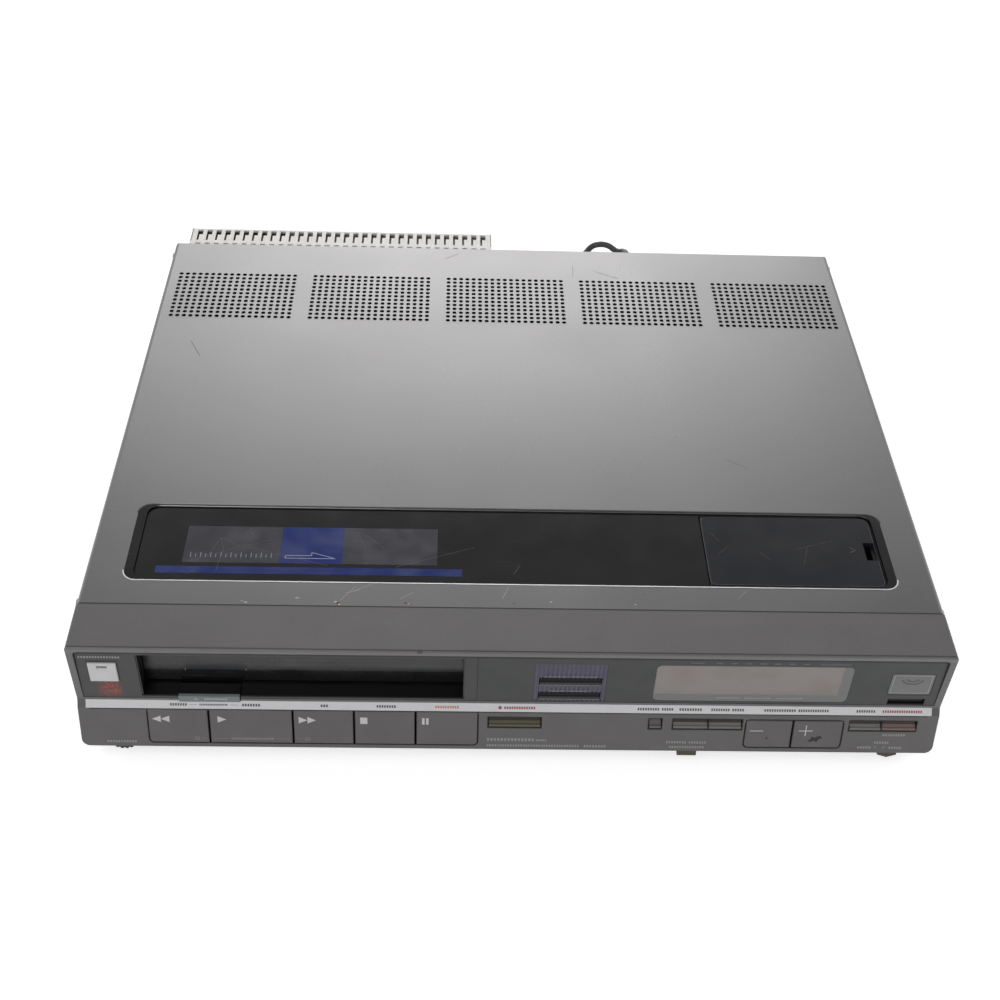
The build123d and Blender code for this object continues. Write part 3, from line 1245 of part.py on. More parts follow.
def tuner_centre():
    """Plan position of the tuning wheel in the preset well."""
    return LID_X0 + TRAY_MARGIN + 16.0, (LID_Y0 + LID_Y1) / 2


def tuning_wheel():
    """Knurled wheel on a post in the preset well."""
    x, y = tuner_centre()
    low = GLASS_LOW_Z - TRAY_DEPTH + 0.3
    body = rod(TUNER_RADIUS, (x, y, low), (x, y, low + TUNER_HEIGHT))
    for i in range(12):
        u, v = polar((x, y), TUNER_RADIUS, 30 * i)
        body -= Pos(u, v, low + TUNER_HEIGHT / 2) * Rot(0, 0, 30 * i + 45) * Box(
            1.2, 1.2, TUNER_HEIGHT + 1,
        )
    return body - rod(TUNER_POST_RADIUS + TUNER_POST_FIT, (x, y, low - 1), (x, y, low + TUNER_HEIGHT + 1))


# Chassis and back


def base_chassis():
    """Folded steel pan with side flanges, posts for the deck and boards, and cooling slots."""
    pan = block(CHASSIS_X0, CHASSIS_X1, CHASSIS_Y0, REAR_FACE_Y, FOOT_HEIGHT, CHASSIS_TOP_Z)
    flange_y0 = SEAM_Y + TONGUE_LENGTH + 1
    for x0, x1 in ((CHASSIS_X0, CHASSIS_X0 + CHASSIS_SHEET), (CHASSIS_X1 - CHASSIS_SHEET, CHASSIS_X1)):
        pan += block(x0, x1, flange_y0, REAR_INNER_Y, CHASSIS_TOP_Z, CHASSIS_TOP_Z + CHASSIS_FLANGE)
        ear_y = COVER_BACK_Y - SCREW_BACK
        pan += block(x0, x1, ear_y - 5, REAR_INNER_Y, CHASSIS_TOP_Z, HEIGHT - COVER_SHEET - COVER_RADIUS)
    slots = []
    width, length = CHASSIS_SLOT
    for i in range(CHASSIS_SLOTS):
        y = NOSE_Y + 120 + i * CHASSIS_SLOT_PITCH
        slots.append(
            block(RIGHT - 90, RIGHT - 90 + width, y, y + length, FOOT_HEIGHT - 1, CHASSIS_TOP_Z + 1),
        )
    pan -= slots
    for x, y in deck_posts():
        pan += facet_bar(POST_RADIUS, (x, y, CHASSIS_TOP_Z), (x, y, DECK_LOW_Z), 6)
    for x, y in board_posts():
        pan += facet_bar(POST_RADIUS - 1, (x, y, CHASSIS_TOP_Z), (x, y, CHASSIS_TOP_Z + MAIN_RISE), 6)
    return pan - [rod(SCREW_RADIUS + 0.05, start, end) for start, end in side_screw_lines()]


def deck_posts():
    """Plan positions of the posts that carry the deck."""
    inset = 8.0
    middle = (DECK_Y0 + DECK_Y1) / 2
    return [(x, y) for x in (DECK_X0 + inset, DECK_X1 - inset) for y in (DECK_Y0 + inset, middle, DECK_Y1 - inset)]


def main_board_span():
    """Plan limits of the main board, between the deck and the cabinet's right side."""
    return DECK_X1 + MAIN_MARGIN, CHASSIS_X1 - MAIN_SIDE, NOSE_Y + MAIN_FRONT, COVER_BACK_Y - MAIN_BACK


def board_posts():
    """Plan positions of the posts that carry the main board."""
    x0, x1, y0, y1 = main_board_span()
    inset = MAIN_POST_INSET
    return [(x, y) for x in (x0 + inset, x1 - inset) for y in (y0 + inset, y1 - inset)]


def main_board():
    """Signal board with screening cans, capacitors, a heat sink and connectors."""
    x0, x1, y0, y1 = main_board_span()
    low = CHASSIS_TOP_Z + MAIN_RISE
    top = low + BOARD_THICKNESS
    body = block(x0, x1, y0, y1, low, top)
    for (dx, dy), (sx, sy, sz) in SCREEN_CANS:
        body += block(x0 + dx, x0 + dx + sx, y0 + dy, y0 + dy + sy, top, top + sz)
    radius, height = CAPACITOR
    sink_y = y1 - SINK_BACK
    sink_x1 = x1 - SINK_SIDE
    sink_x0 = sink_x1 - SINK_SIZE[0]
    for i in range(CAPACITORS):
        cx = sink_x0 - CAPACITOR_AHEAD + CAPACITOR_PITCH * i
        cy = sink_y + CAPACITOR_GAP + radius
        body += facet_bar(radius, (cx, cy, top), (cx, cy, top + height))
    fins = block(sink_x0, sink_x1, sink_y - SINK_PLATE, sink_y, top, top + SINK_SIZE[2])
    pitch = (SINK_SIZE[0] - SINK_FIN) / (SINK_FINS - 1)
    for i in range(SINK_FINS):
        x = sink_x0 + pitch * i
        fins += block(x, x + SINK_FIN, sink_y - SINK_SIZE[1], sink_y, top, top + SINK_SIZE[2])
    return body + fins


def power_transformer():
    """Mains transformer: laminated core, wound bobbin and mounting feet."""
    sx, sy, sz = TRANSFORMER_SIZE
    x0 = RIGHT - TRANSFORMER_END
    y1 = COVER_BACK_Y - TRANSFORMER_BACK
    y0 = y1 - sy
    z0 = CHASSIS_TOP_Z
    core = block(x0, x0 + sx, y0 + 8, y1 - 8, z0 + 2, z0 + sz)
    core -= block(x0 + 10, x0 + 18, y0, y1, z0 + 11, z0 + sz - 9)
    core -= block(x0 + sx - 18, x0 + sx - 10, y0, y1, z0 + 11, z0 + sz - 9)
    coil = rounded(block(x0 + 12, x0 + sx - 12, y0, y1, z0 + 12, z0 + sz - 10), Axis.X, 5)
    feet = block(x0 - 8, x0 + sx + 8, y0 + 8, y1 - 8, z0, z0 + 2)
    return core + coil + feet


def tuner_modules():
    """Screened aerial tuner and modulator side by side behind the aerial sockets."""
    sx, sy, sz = TUNER_SIZE
    x0 = RIGHT - TUNER_END
    y1 = REAR_INNER_Y - SOCKET_BOARD[2] - SOCKET_PANEL_LIFT - TUNER_BACK_GAP
    first = block(x0, x0 + sx * 0.6 - 0.5, y1 - sy, y1, TUNER_Z, TUNER_Z + sz)
    second = block(x0 + sx * 0.6 + 0.5, x0 + sx, y1 - sy * 0.8, y1, TUNER_Z, TUNER_Z + sz)
    for i in range(3):
        first -= facet_bar(
            2.0, (x0 + 8, y1 - 12 - 12 * i, TUNER_Z + sz - 1),
            (x0 + 8, y1 - 12 - 12 * i, TUNER_Z + sz + 1), 8,
        )
    stands = []
    for x in (x0 + 6, x0 + sx - 6):
        stands.append(block(x - 3, x + 3, y1 - 30, y1 - 24, CHASSIS_TOP_Z, TUNER_Z))
    first += stands[0]
    second += stands[1]
    return [first, second]


def rear_panel():
    """Steel back with openings for the sockets, the lead and the regulator."""
    top = HEIGHT - COVER_SHEET - COVER_FIT
    body = block(CHASSIS_X0, CHASSIS_X1, REAR_INNER_Y, REAR_FACE_Y, CHASSIS_TOP_Z, top)
    body = fillet(
        corner_edges(body, Axis.Y, [(CHASSIS_X0, top), (CHASSIS_X1, top)]), COVER_RADIUS - COVER_SHEET,
    )
    fit = SOCKET_MARGIN + SOCKET_PANEL_FIT
    for x0, x1 in socket_plates():
        body -= block(
            x0 - SOCKET_PANEL_FIT, x1 + SOCKET_PANEL_FIT, REAR_INNER_Y - 1, REAR_FACE_Y + 1,
            SOCKET_LOW_Z - fit, SOCKET_HIGH_Z + fit,
        )
    gland_x = RIGHT - GLAND_END
    body -= facet_bar(
        GLAND_RADIUS + GLAND_FIT, (gland_x, REAR_INNER_Y - 1, GLAND_Z),
        (gland_x, REAR_FACE_Y + 1, GLAND_Z),
    )
    body -= block(
        CAGE_X0 + 8, CAGE_X1 - 8, REAR_INNER_Y - 1, REAR_FACE_Y + 1,
        CHASSIS_TOP_Z + CAGE_FOOT + 6, CAGE_TOP_Z - 8
    )
    return body


def rear_cage():
    """Pale perforated cage over the regulator: two rows of slots on top and one down the back."""
    low = CHASSIS_TOP_Z + CAGE_FOOT
    outer = block(CAGE_X0, CAGE_X1, REAR_FACE_Y, CAGE_BACK_Y, low, CAGE_TOP_Z)
    outer = fillet(corner_edges(outer, Axis.X, [(CAGE_BACK_Y, CAGE_TOP_Z)]), 1.2)
    body = outer - block(
        CAGE_X0 + CAGE_SHEET, CAGE_X1 - CAGE_SHEET, REAR_FACE_Y - 1, CAGE_BACK_Y - CAGE_SHEET,
        low + CAGE_SHEET, CAGE_TOP_Z - CAGE_SHEET,
    )
    slots = []
    first = (CAGE_X0 + CAGE_X1) / 2 - (CAGE_SLOTS - 1) / 2 * CAGE_SLOT_PITCH
    long_y1 = CAGE_BACK_Y - CAGE_SLOT_BACK
    long_y0 = long_y1 - CAGE_SLOT_LENGTH
    short_y1 = long_y0 - CAGE_SLOT_STEP
    for i in range(CAGE_SLOTS):
        x = first + i * CAGE_SLOT_PITCH
        x0 = x - CAGE_SLOT_WIDTH / 2
        x1 = x + CAGE_SLOT_WIDTH / 2
        slots.append(block(x0, x1, long_y0, long_y1, CAGE_TOP_Z - 3, CAGE_TOP_Z + 1))
        slots.append(block(x0, x1, short_y1 - CAGE_SHORT_SLOT, short_y1, CAGE_TOP_Z - 3, CAGE_TOP_Z + 1))
    rear_top = CAGE_TOP_Z - CAGE_REAR_SLOT_DROP
    for i in range(CAGE_REAR_SLOTS):
        x = first + (2 * i + 0.5) * CAGE_SLOT_PITCH
        slots.append(block(
            x - CAGE_SLOT_WIDTH / 2, x + CAGE_SLOT_WIDTH / 2, CAGE_BACK_Y - 3, CAGE_BACK_Y + 1,
            rear_top - CAGE_REAR_SLOT_HEIGHT, rear_top,
        ))
    return body - slots


def socket_plates():
    """Side limits of the two moulded plates that hold the aerial pair and the four phono sockets."""
    aerial = RIGHT - AERIAL_END
    left, right = (RIGHT - end for end in PHONO_ENDS)
    return [
        (aerial - SOCKET_MARGIN, aerial + SOCKET_MARGIN), (left - SOCKET_MARGIN, right + SOCKET_MARGIN),
    ]


def socket_places():
    """Position, bore radius, wall and length of each socket: aerial and two phono in each row."""
    places = []
    for z in (SOCKET_HIGH_Z, SOCKET_LOW_Z):
        places.append((RIGHT - AERIAL_END, z, AERIAL_RADIUS, AERIAL_WALL, AERIAL_LENGTH))
        for end in PHONO_ENDS:
            wall = PHONO_RADIUS - PHONO_BORE_RADIUS
            places.append((RIGHT - end, z, PHONO_BORE_RADIUS, wall, PHONO_LENGTH))
    return places


def rear_sockets():
    """Board behind the back panel, with its two moulded plates and the tubes of the sockets."""
    x1 = RIGHT - PHONO_ENDS[-1] + SOCKET_BOARD_MARGIN
    board_y1 = REAR_INNER_Y - SOCKET_PANEL_LIFT
    width, height, thickness = SOCKET_BOARD
    middle = (SOCKET_HIGH_Z + SOCKET_LOW_Z) / 2
    body = block(x1 - width, x1, board_y1 - thickness, board_y1, middle - height / 2, middle + height / 2)
    for x0, x1 in socket_plates():
        body += block(
            x0, x1, board_y1, REAR_FACE_Y + SOCKET_FLANGE,
            SOCKET_LOW_Z - SOCKET_MARGIN, SOCKET_HIGH_Z + SOCKET_MARGIN
        )
    tubes = []
    foot_y = REAR_FACE_Y + SOCKET_FLANGE
    for x, z, bore, wall, length in socket_places():
        tube = rod(bore + wall, (x, foot_y, z), (x, foot_y + length, z))
        tubes.append(tube - rod(bore, (x, foot_y - 1, z), (x, foot_y + length + 1, z)))
    return [body] + tubes


def cord_gland():
    """Strain relief: a collar against the back panel and a tapered sleeve behind it."""
    x = RIGHT - GLAND_END
    collar_radius, collar = GLAND_COLLAR
    body = facet_bar(GLAND_RADIUS, (x, REAR_INNER_Y - 3, GLAND_Z), (x, REAR_FACE_Y, GLAND_Z))
    body += facet_bar(
        GLAND_RADIUS + 1.2, (x, REAR_INNER_Y - 4.5, GLAND_Z), (x, REAR_INNER_Y - 0.2, GLAND_Z),
    )
    body += facet_bar(collar_radius, (x, REAR_FACE_Y, GLAND_Z), (x, REAR_FACE_Y + collar, GLAND_Z))
    body += facet_bar(
        GLAND_RADIUS, (x, REAR_FACE_Y + collar, GLAND_Z),
        (x, REAR_FACE_Y + GLAND_LENGTH, GLAND_Z), 12, GLAND_TIP_RADIUS
    )
    return body


def rubber_feet():
    """Four tapered feet under the pan."""
    feet = []
    for x in (LEFT + FOOT_INSET, RIGHT - FOOT_INSET):
        for y in (NOSE_Y + FOOT_FRONT, COVER_BACK_Y - FOOT_BACK):
            feet.append(
                facet_bar(FOOT_RADIUS - FOOT_TAPER, (x, y, 0), (x, y, FOOT_HEIGHT), 20, FOOT_RADIUS),
            )
    return feet


def housing_screws():
    """Four screws that hold the cover to the pan."""
    screws = []
    for start, _ in side_screw_lines():
        side = math.copysign(1, start[0])
        y, z = start[1], start[2]
        seat = (side * RIGHT, y, z)
        head = facet_bar(
            SCREW_HEAD_RADIUS, seat, (side * (RIGHT + SCREW_HEAD), y, z), 12,
            SCREW_HEAD_RADIUS - SCREW_DOME,
        )
        shank = facet_bar(SCREW_RADIUS, seat, (side * (RIGHT - SCREW_LENGTH), y, z), 8)
        screws.append(head + shank)
    return screws


# Tape deck and carriage


def drum_frame(height):
    """Location on the tilted drum axis, a distance above the deck."""
    tilt = math.radians(DRUM_TILT)
    axis = (0, math.sin(tilt), math.cos(tilt))
    origin = (SLOT_X, RING_Y + axis[1] * height, DECK_TOP_Z + axis[2] * height)
    return Plane(origin=origin, x_dir=(1, 0, 0), z_dir=axis).location


def upright(radius, height):
    """Cylinder standing on its local plane."""
    return Cylinder(radius, height, align=(Align.CENTER, Align.CENTER, Align.MIN))


def lower_drum():
    """Fixed lower drum on a wedge foot that gives the tilt."""
    stand = drum_frame(-4) * upright(DRUM_FOOT_RADIUS, DRUM_STAND + 4 + 1)
    stand -= block(SLOT_X - 60, SLOT_X + 60, RING_Y - 60, RING_Y + 60, DECK_TOP_Z - 20, DECK_TOP_Z)
    body = stand + drum_frame(DRUM_STAND) * upright(DRUM_RADIUS, DRUM_LOWER_HEIGHT)
    return body - drum_frame(DRUM_STAND) * upright(DRUM_SHAFT_RADIUS + SHAFT_FIT, DRUM_LOWER_HEIGHT + 5)


def upper_drum():
    """Rotating head drum with its shaft in the lower drum's bearing."""
    base = DRUM_STAND + DRUM_LOWER_HEIGHT + DRUM_GAP
    body = drum_frame(base) * upright(DRUM_RADIUS, DRUM_UPPER_HEIGHT)
    body -= drum_frame(base + DRUM_UPPER_HEIGHT - 2) * upright(DRUM_RADIUS - 12, 3)
    body += drum_frame(base - DRUM_LOWER_HEIGHT + 1) * upright(
        DRUM_SHAFT_RADIUS, DRUM_LOWER_HEIGHT + DRUM_UPPER_HEIGHT - 1,
    )
    frame = drum_frame(base - 0.2)
    for turn in (0, 180):
        body -= frame * Rot(0, 0, turn) * Pos(DRUM_RADIUS, 0, 0) * Box(3, 4, 3)
    return body


def pinch_centre():
    """Plan position of the pinch roller when the tape is unthreaded."""
    return polar((SLOT_X, RING_Y), (RING_INNER + RING_OUTER) / 2, PINCH_ANGLE)


def threading_ring():
    """Ring that carries the tape round the drum, with its guide posts and the pinch roller's post."""
    low = DECK_TOP_Z + RING_PAD + RUN_GAP
    top = low + RING_THICKNESS
    body = Pos(SLOT_X, RING_Y, low) * (
        upright(RING_OUTER, RING_THICKNESS) - upright(RING_INNER, RING_THICKNESS)
    )
    x, y = pinch_centre()
    body += rod(PINCH_POST_RADIUS, (x, y, top - 1), (x, y, top + PINCH_HEIGHT + 2))
    for step in (16, 32):
        x, y = polar((SLOT_X, RING_Y), (RING_INNER + RING_OUTER) / 2, PINCH_ANGLE + step)
        body += facet_bar(2.0, (x, y, top - 1), (x, y, top + PINCH_HEIGHT), 8)
    return body


def pinch_roller():
    """Rubber roller on the ring's post."""
    low = DECK_TOP_Z + RING_PAD + RUN_GAP + RING_THICKNESS + RUN_GAP
    x, y = pinch_centre()
    body = rod(PINCH_RADIUS, (x, y, low), (x, y, low + PINCH_HEIGHT))
    return body - rod(PINCH_POST_RADIUS + SHAFT_FIT, (x, y, low - 1), (x, y, low + PINCH_HEIGHT + 1))


def capstan_centre():
    """Plan position of the capstan, just outside the ring."""
    return polar((SLOT_X, RING_Y), RING_OUTER + CAPSTAN_RADIUS + 2 * RUN_GAP, CAPSTAN_ANGLE)


def capstan():
    """Capstan shaft with the rotor of its motor under the deck."""
    x, y = capstan_centre()
    rotor_top = DECK_LOW_Z - RUN_GAP
    body = rod(CAPSTAN_RADIUS, (x, y, rotor_top - 1), (x, y, DECK_TOP_Z + CAPSTAN_RISE))
    body += rod(CAPSTAN_ROTOR_RADIUS, (x, y, rotor_top - CAPSTAN_ROTOR), (x, y, rotor_top))
    return body


def drive_centre():
    """Plan position of the roller that turns the ring."""
    return polar((SLOT_X, RING_Y), RING_OUTER + DRIVE_RADIUS + RUN_GAP, DRIVE_ANGLE)


def ring_drive_roller():
    """Rubber-tyred roller that turns the threading ring by friction."""
    x, y = drive_centre()
    low = DECK_TOP_Z + RUN_GAP
    top = DECK_TOP_Z + RING_PAD + RUN_GAP + RING_THICKNESS
    body = rod(DRIVE_RADIUS, (x, y, DECK_TOP_Z + RING_PAD), (x, y, top))
    body += rod(DRIVE_RADIUS - 6, (x, y, low), (x, y, DECK_TOP_Z + RING_PAD))
    return body - rod(DRIVE_SHAFT_RADIUS + SHAFT_FIT, (x, y, low - 1), (x, y, top + 1))


def drive_motors():
    """Fixed motors under the deck: ring drive with its spindle, reel drive and capstan stator."""
    x, y = drive_centre()
    top = DECK_TOP_Z + RING_PAD + RUN_GAP + RING_THICKNESS
    ring_motor = facet_bar(RING_MOTOR_RADIUS, (x, y, CHASSIS_TOP_Z + 1), (x, y, DECK_LOW_Z))
    ring_motor += rod(DRIVE_SHAFT_RADIUS, (x, y, DECK_LOW_Z), (x, y, top))
    motor_y = REEL_Y - REEL_MOTOR_AHEAD
    reel_motor = facet_bar(
        REEL_MOTOR_RADIUS, (SLOT_X, motor_y, CHASSIS_TOP_Z + 1), (SLOT_X, motor_y, DECK_LOW_Z),
    )
    cx, cy = capstan_centre()
    stator_top = DECK_LOW_Z - 2 * RUN_GAP - CAPSTAN_ROTOR
    stator = facet_bar(CAPSTAN_ROTOR_RADIUS - 2, (cx, cy, CHASSIS_TOP_Z), (cx, cy, stator_top), 16)
    return [ring_motor, reel_motor, stator]


def deck_plate():
    """Deck with the reel posts, the ring's pads and rollers, and the capstan's bearing."""
    body = block(DECK_X0, DECK_X1, DECK_Y0, DECK_Y1, DECK_LOW_Z, DECK_TOP_Z)
    for x in reel_centres():
        body += rod(REEL_POST_RADIUS, (x, REEL_Y, DECK_LOW_Z), (x, REEL_Y, SPINDLE_TOP_Z - 1))
    for angle in GUIDE_ANGLES:
        x, y = polar((SLOT_X, RING_Y), (RING_INNER + RING_OUTER) / 2, angle)
        body += block(x - 3, x + 3, y - 3, y + 3, DECK_TOP_Z, DECK_TOP_Z + RING_PAD)
        x, y = polar((SLOT_X, RING_Y), RING_OUTER + GUIDE_ROLLER_RADIUS + RUN_GAP, angle)
        body += facet_bar(
            GUIDE_ROLLER_RADIUS, (x, y, DECK_TOP_Z), (x, y, DECK_TOP_Z + RING_PAD + RING_THICKNESS + 1),
        )
    x, y = capstan_centre()
    body += rod(CAPSTAN_BOSS_RADIUS, (x, y, DECK_LOW_Z), (x, y, DECK_TOP_Z + RING_PAD - 0.5))
    body -= rod(CAPSTAN_RADIUS + SHAFT_FIT, (x, y, DECK_LOW_Z - 1), (x, y, DECK_TOP_Z + 20))
    x, y = drive_centre()
    return body - rod(DRIVE_SHAFT_RADIUS + 1, (x, y, DECK_LOW_Z - 1), (x, y, DECK_TOP_Z + 1))


def reel_centres():
    """X of the supply reel and of the take-up reel."""
    return SLOT_X - REEL_SPACING / 2, SLOT_X + REEL_SPACING / 2


def reel(x):
    """Reel table with a finned spindle that enters the cassette's hub."""
    low = DECK_TOP_Z + RUN_GAP
    body = rod(REEL_RADIUS, (x, REEL_Y, low), (x, REEL_Y, low + REEL_THICKNESS))
    shoulder = (x, REEL_Y, SPINDLE_TOP_Z - SPINDLE_NOSE)
    body += facet_bar(SPINDLE_RADIUS, (x, REEL_Y, low), shoulder)
    body += facet_bar(
        SPINDLE_RADIUS, shoulder, (x, REEL_Y, SPINDLE_TOP_Z), 12, SPINDLE_RADIUS - SPINDLE_NOSE,
    )
    for i in range(SPINDLE_FINS):
        fin = Box(SPINDLE_RADIUS + 1.4, 1.2, 8, align=(Align.MIN, Align.CENTER, Align.MIN))
        body += Pos(x, REEL_Y, low + REEL_THICKNESS - 1) * Rot(0, 0, 360 * i / SPINDLE_FINS) * fin
    return body - rod(REEL_POST_RADIUS + SHAFT_FIT, (x, REEL_Y, low - 1), (x, REEL_Y, SPINDLE_TOP_Z + 1))


def pin_places():
    """Y of the basket's front and rear pins at rest."""
    return BASKET_Y0 + PIN_INSET, BASKET_Y1 - PIN_INSET


def carriage_rails():
    """Two side plates on the deck, each with a pair of angled tracks for the basket's pins."""
    half = PIN_RADIUS + PIN_SLOT_FIT
    body = []
    for side in (-1, 1):
        x0, x1 = sorted((SLOT_X + side * RAIL_INNER, SLOT_X + side * RAIL_OUTER))
        plate = block(x0, x1, BASKET_Y0 - 1, RAIL_Y1, DECK_TOP_Z, BASKET_TOP_Z)
        foot_x0, foot_x1 = sorted((SLOT_X + side * RAIL_INNER, SLOT_X + side * (RAIL_OUTER + RAIL_FOOT)))
        foot_x0 = max(foot_x0, DECK_X0)
        foot_x1 = min(foot_x1, DECK_X1)
        plate += block(foot_x0, foot_x1, BASKET_Y0 - 1, RAIL_Y1, DECK_TOP_Z, DECK_TOP_Z + RAIL_PLATE)
        for y in pin_places():
            end = y + CARRIAGE_TRAVEL
            plate -= block(x0 - 1, x1 + 1, y - half, end + half, PIN_Z - half, PIN_Z + half)
            plate -= block(
                x0 - 1, x1 + 1, end - half, end + half, PIN_Z - BASKET_DROP - half, PIN_Z + half,
            )
            plate -= block(x0 - 1, x1 + 1, y - half, y + half, PIN_Z - BASKET_DROP - half, PIN_Z + half)
        body.append(plate)
    return body


def cassette_carriage():
    """Two drive sliders joined by a bridge; they push the basket's pins along the tracks."""
    half = PIN_RADIUS + PIN_SLOT_FIT
    body = Part()
    for side in (-1, 1):
        x0, x1 = sorted((SLOT_X + side * SLIDER_INNER, SLOT_X + side * SLIDER_OUTER))
        plate = block(x0, x1, BASKET_Y0 + 1, BASKET_Y1 - 1, DECK_TOP_Z + 1.5, BASKET_TOP_Z - 0.5)
        for y in pin_places():
            plate -= block(x0 - 1, x1 + 1, y - half, y + half, PIN_Z - BASKET_DROP - half, PIN_Z + half)
        body += plate
    middle = (BASKET_Y0 + BASKET_Y1) / 2
    body += block(
        SLOT_X - SLIDER_OUTER, SLOT_X + SLIDER_OUTER, middle - 5,
        middle + 5, BASKET_TOP_Z + 0.4, BASKET_TOP_Z + 1.2
    )
    for side in (-1, 1):
        x0, x1 = sorted((SLOT_X + side * SLIDER_INNER, SLOT_X + side * SLIDER_OUTER))
        body += block(x0, x1, middle - 5, middle + 5, BASKET_TOP_Z - 1, BASKET_TOP_Z + 1.2)
    return body


def cassette_basket():
    """Basket that holds the cassette: shelves, sides, top plate with a sight opening, and pins."""
    body = block(
        SLOT_X - BASKET_OUTER, SLOT_X + BASKET_OUTER, BASKET_Y0,
        BASKET_Y1, BASKET_TOP_Z - BASKET_SHEET, BASKET_TOP_Z
    )
    body -= block(
        SLOT_X - 50, SLOT_X + 50, BASKET_Y0 + 12, BASKET_Y1 - 14, BASKET_TOP_Z - 3, BASKET_TOP_Z + 1,
    )
    stop_width, stop_height = BASKET_STOP
    for side in (-1, 1):
        x0, x1 = sorted((SLOT_X + side * BASKET_INNER, SLOT_X + side * BASKET_OUTER))
        body += block(x0, x1, BASKET_Y0, BASKET_Y1, BASKET_LOW_Z, BASKET_TOP_Z)
        x0, x1 = sorted((SLOT_X + side * (BASKET_OUTER - BASKET_SHELF), SLOT_X + side * BASKET_OUTER))
        body += block(x0, x1, BASKET_Y0, BASKET_Y1, BASKET_LOW_Z, SHELF_TOP_Z)
        x0, x1 = sorted((SLOT_X + side * (BASKET_OUTER - stop_width), SLOT_X + side * BASKET_OUTER))
        body += block(
            x0, x1, BASKET_Y1 - BASKET_SHEET, BASKET_Y1, BASKET_LOW_Z, SHELF_TOP_Z + stop_height,
        )
        for y in pin_places():
            start = (SLOT_X + side * (BASKET_OUTER - 0.5), y, PIN_Z)
            end = (SLOT_X + side * (RAIL_OUTER - 0.1), y, PIN_Z)
            body += rod(PIN_RADIUS, start, end)
    return body


# Lead, coil and plug


def cord_section(plane):
    """Cord's cross-section on a plane square to its path, with a flat side down."""
    return plane * Rot(0, 0, 0) * RegularPolygon(radius=CORD_DIAMETER / 2, side_count=CORD_SIDES)


def route_radii(points):
    """Bend radius at each inner point: as large as its two runs allow."""
    radii = []
    for before, point, after in zip(points, points[1:], points[2:]):
        a = Vector(*point) - Vector(*before)
        b = Vector(*after) - Vector(*point)
        half_turn = math.radians(a.get_angle(b)) / 2
        radii.append(0.45 * min(a.length, b.length) / math.tan(half_turn))
    return radii


def swept(path):
    """Tube of the cord's section along a path that starts and ends straight."""
    start = path @ 0
    tangent = path % 0
    side = Vector(0, 0, 1).cross(tangent)
    plane = Plane(origin=start, x_dir=side, z_dir=tangent)
    section = plane * RegularPolygon(radius=CORD_DIAMETER / 2, side_count=CORD_SIDES)
    return sweep(section, path=path)


def run_tube(name, points):
    """Tube along hand-set points, with its bends and its volume printed."""
    radii = route_radii(points)
    path = FilletPolyline(*points, radius=radii)
    tube = swept(path)
    area = CORD_SIDES / 2 * (CORD_DIAMETER / 2) ** 2 * math.sin(2 * math.pi / CORD_SIDES)
    print(name, "radii", [round(r, 1) for r in radii], "length", round(path.length, 1))
    print(name, "volume", round(tube.volume, 1), "expected", round(area * path.length, 1))
    return tube


def coil_point(turns):
    """Centre of the cord in the coil after a number of turns, with the coil's middle as origin."""
    layer_turns = COIL_LAYER_TURNS + COIL_CLIMB_TURNS
    layer = min(int(turns / layer_turns), COIL_LAYERS - 1)
    local = turns - layer * layer_turns
    outer = COIL_MEAN_RADIUS + COIL_PITCH * COIL_LAYER_TURNS / 2
    inner = outer - COIL_PITCH * COIL_LAYER_TURNS
    start, end = (outer, inner) if layer % 2 == 0 else (inner, outer)
    if local <= COIL_LAYER_TURNS:
        radius = start + (end - start) * local / COIL_LAYER_TURNS
        rise = 0.0
    else:
        share = (local - COIL_LAYER_TURNS) / COIL_CLIMB_TURNS
        way = math.copysign(1, end - start)
        radius = end + way * COIL_PITCH * COIL_CLIMB_TURNS * share * (1 - share)
        rise = 3 * share**2 - 2 * share**3
    angle = 2 * math.pi * turns + math.radians(COIL_START)
    height = cord_floor() + COIL_LIFT * (layer + rise)
    return Vector(radius * math.cos(angle), radius * math.sin(angle), height)


def cord_floor():
    """Height of the cord's centre where it lies on the floor."""
    return CORD_DIAMETER / 2


def coil_turns():
    """Turns in the whole coil."""
    return COIL_LAYERS * COIL_LAYER_TURNS + (COIL_LAYERS - 1) * COIL_CLIMB_TURNS


def coil_tangent(turns):
    """Direction of the cord in the coil."""
    step = 1e-4
    low = max(turns - step, 0)
    high = min(turns + step, coil_turns())
    return (coil_point(high) - coil_point(low)).normalized()


def biarc(p0, t0, p1, t1):
    """Two arcs that meet smoothly and leave each end along its direction."""
    chord = p1 - p0
    both = t0 + t1
    denominator = 2 * (1 - t0.dot(t1))
    reach = (-chord.dot(both) + math.sqrt(chord.dot(both) ** 2 + denominator * chord.dot(chord))) / denominator
    meet = (p0 + p1 + (t0 - t1) * reach) * 0.5
    return [
        Edge.make_tangent_arc(p0, t0, meet),
        Edge.make_tangent_arc(meet, (meet_direction(p0, t0, meet)), p1),
    ]


def meet_direction(start, tangent, end):
    """Direction at the far end of an arc that leaves a point along a direction."""
    chord = (end - start).normalized()
    return (chord * 2 * chord.dot(tangent) - tangent).normalized()


def coil_centre():
    """Place of the coil's middle on the floor."""
    return Vector(RIGHT - COIL_END, CAGE_BACK_Y + COIL_BACK, 0)


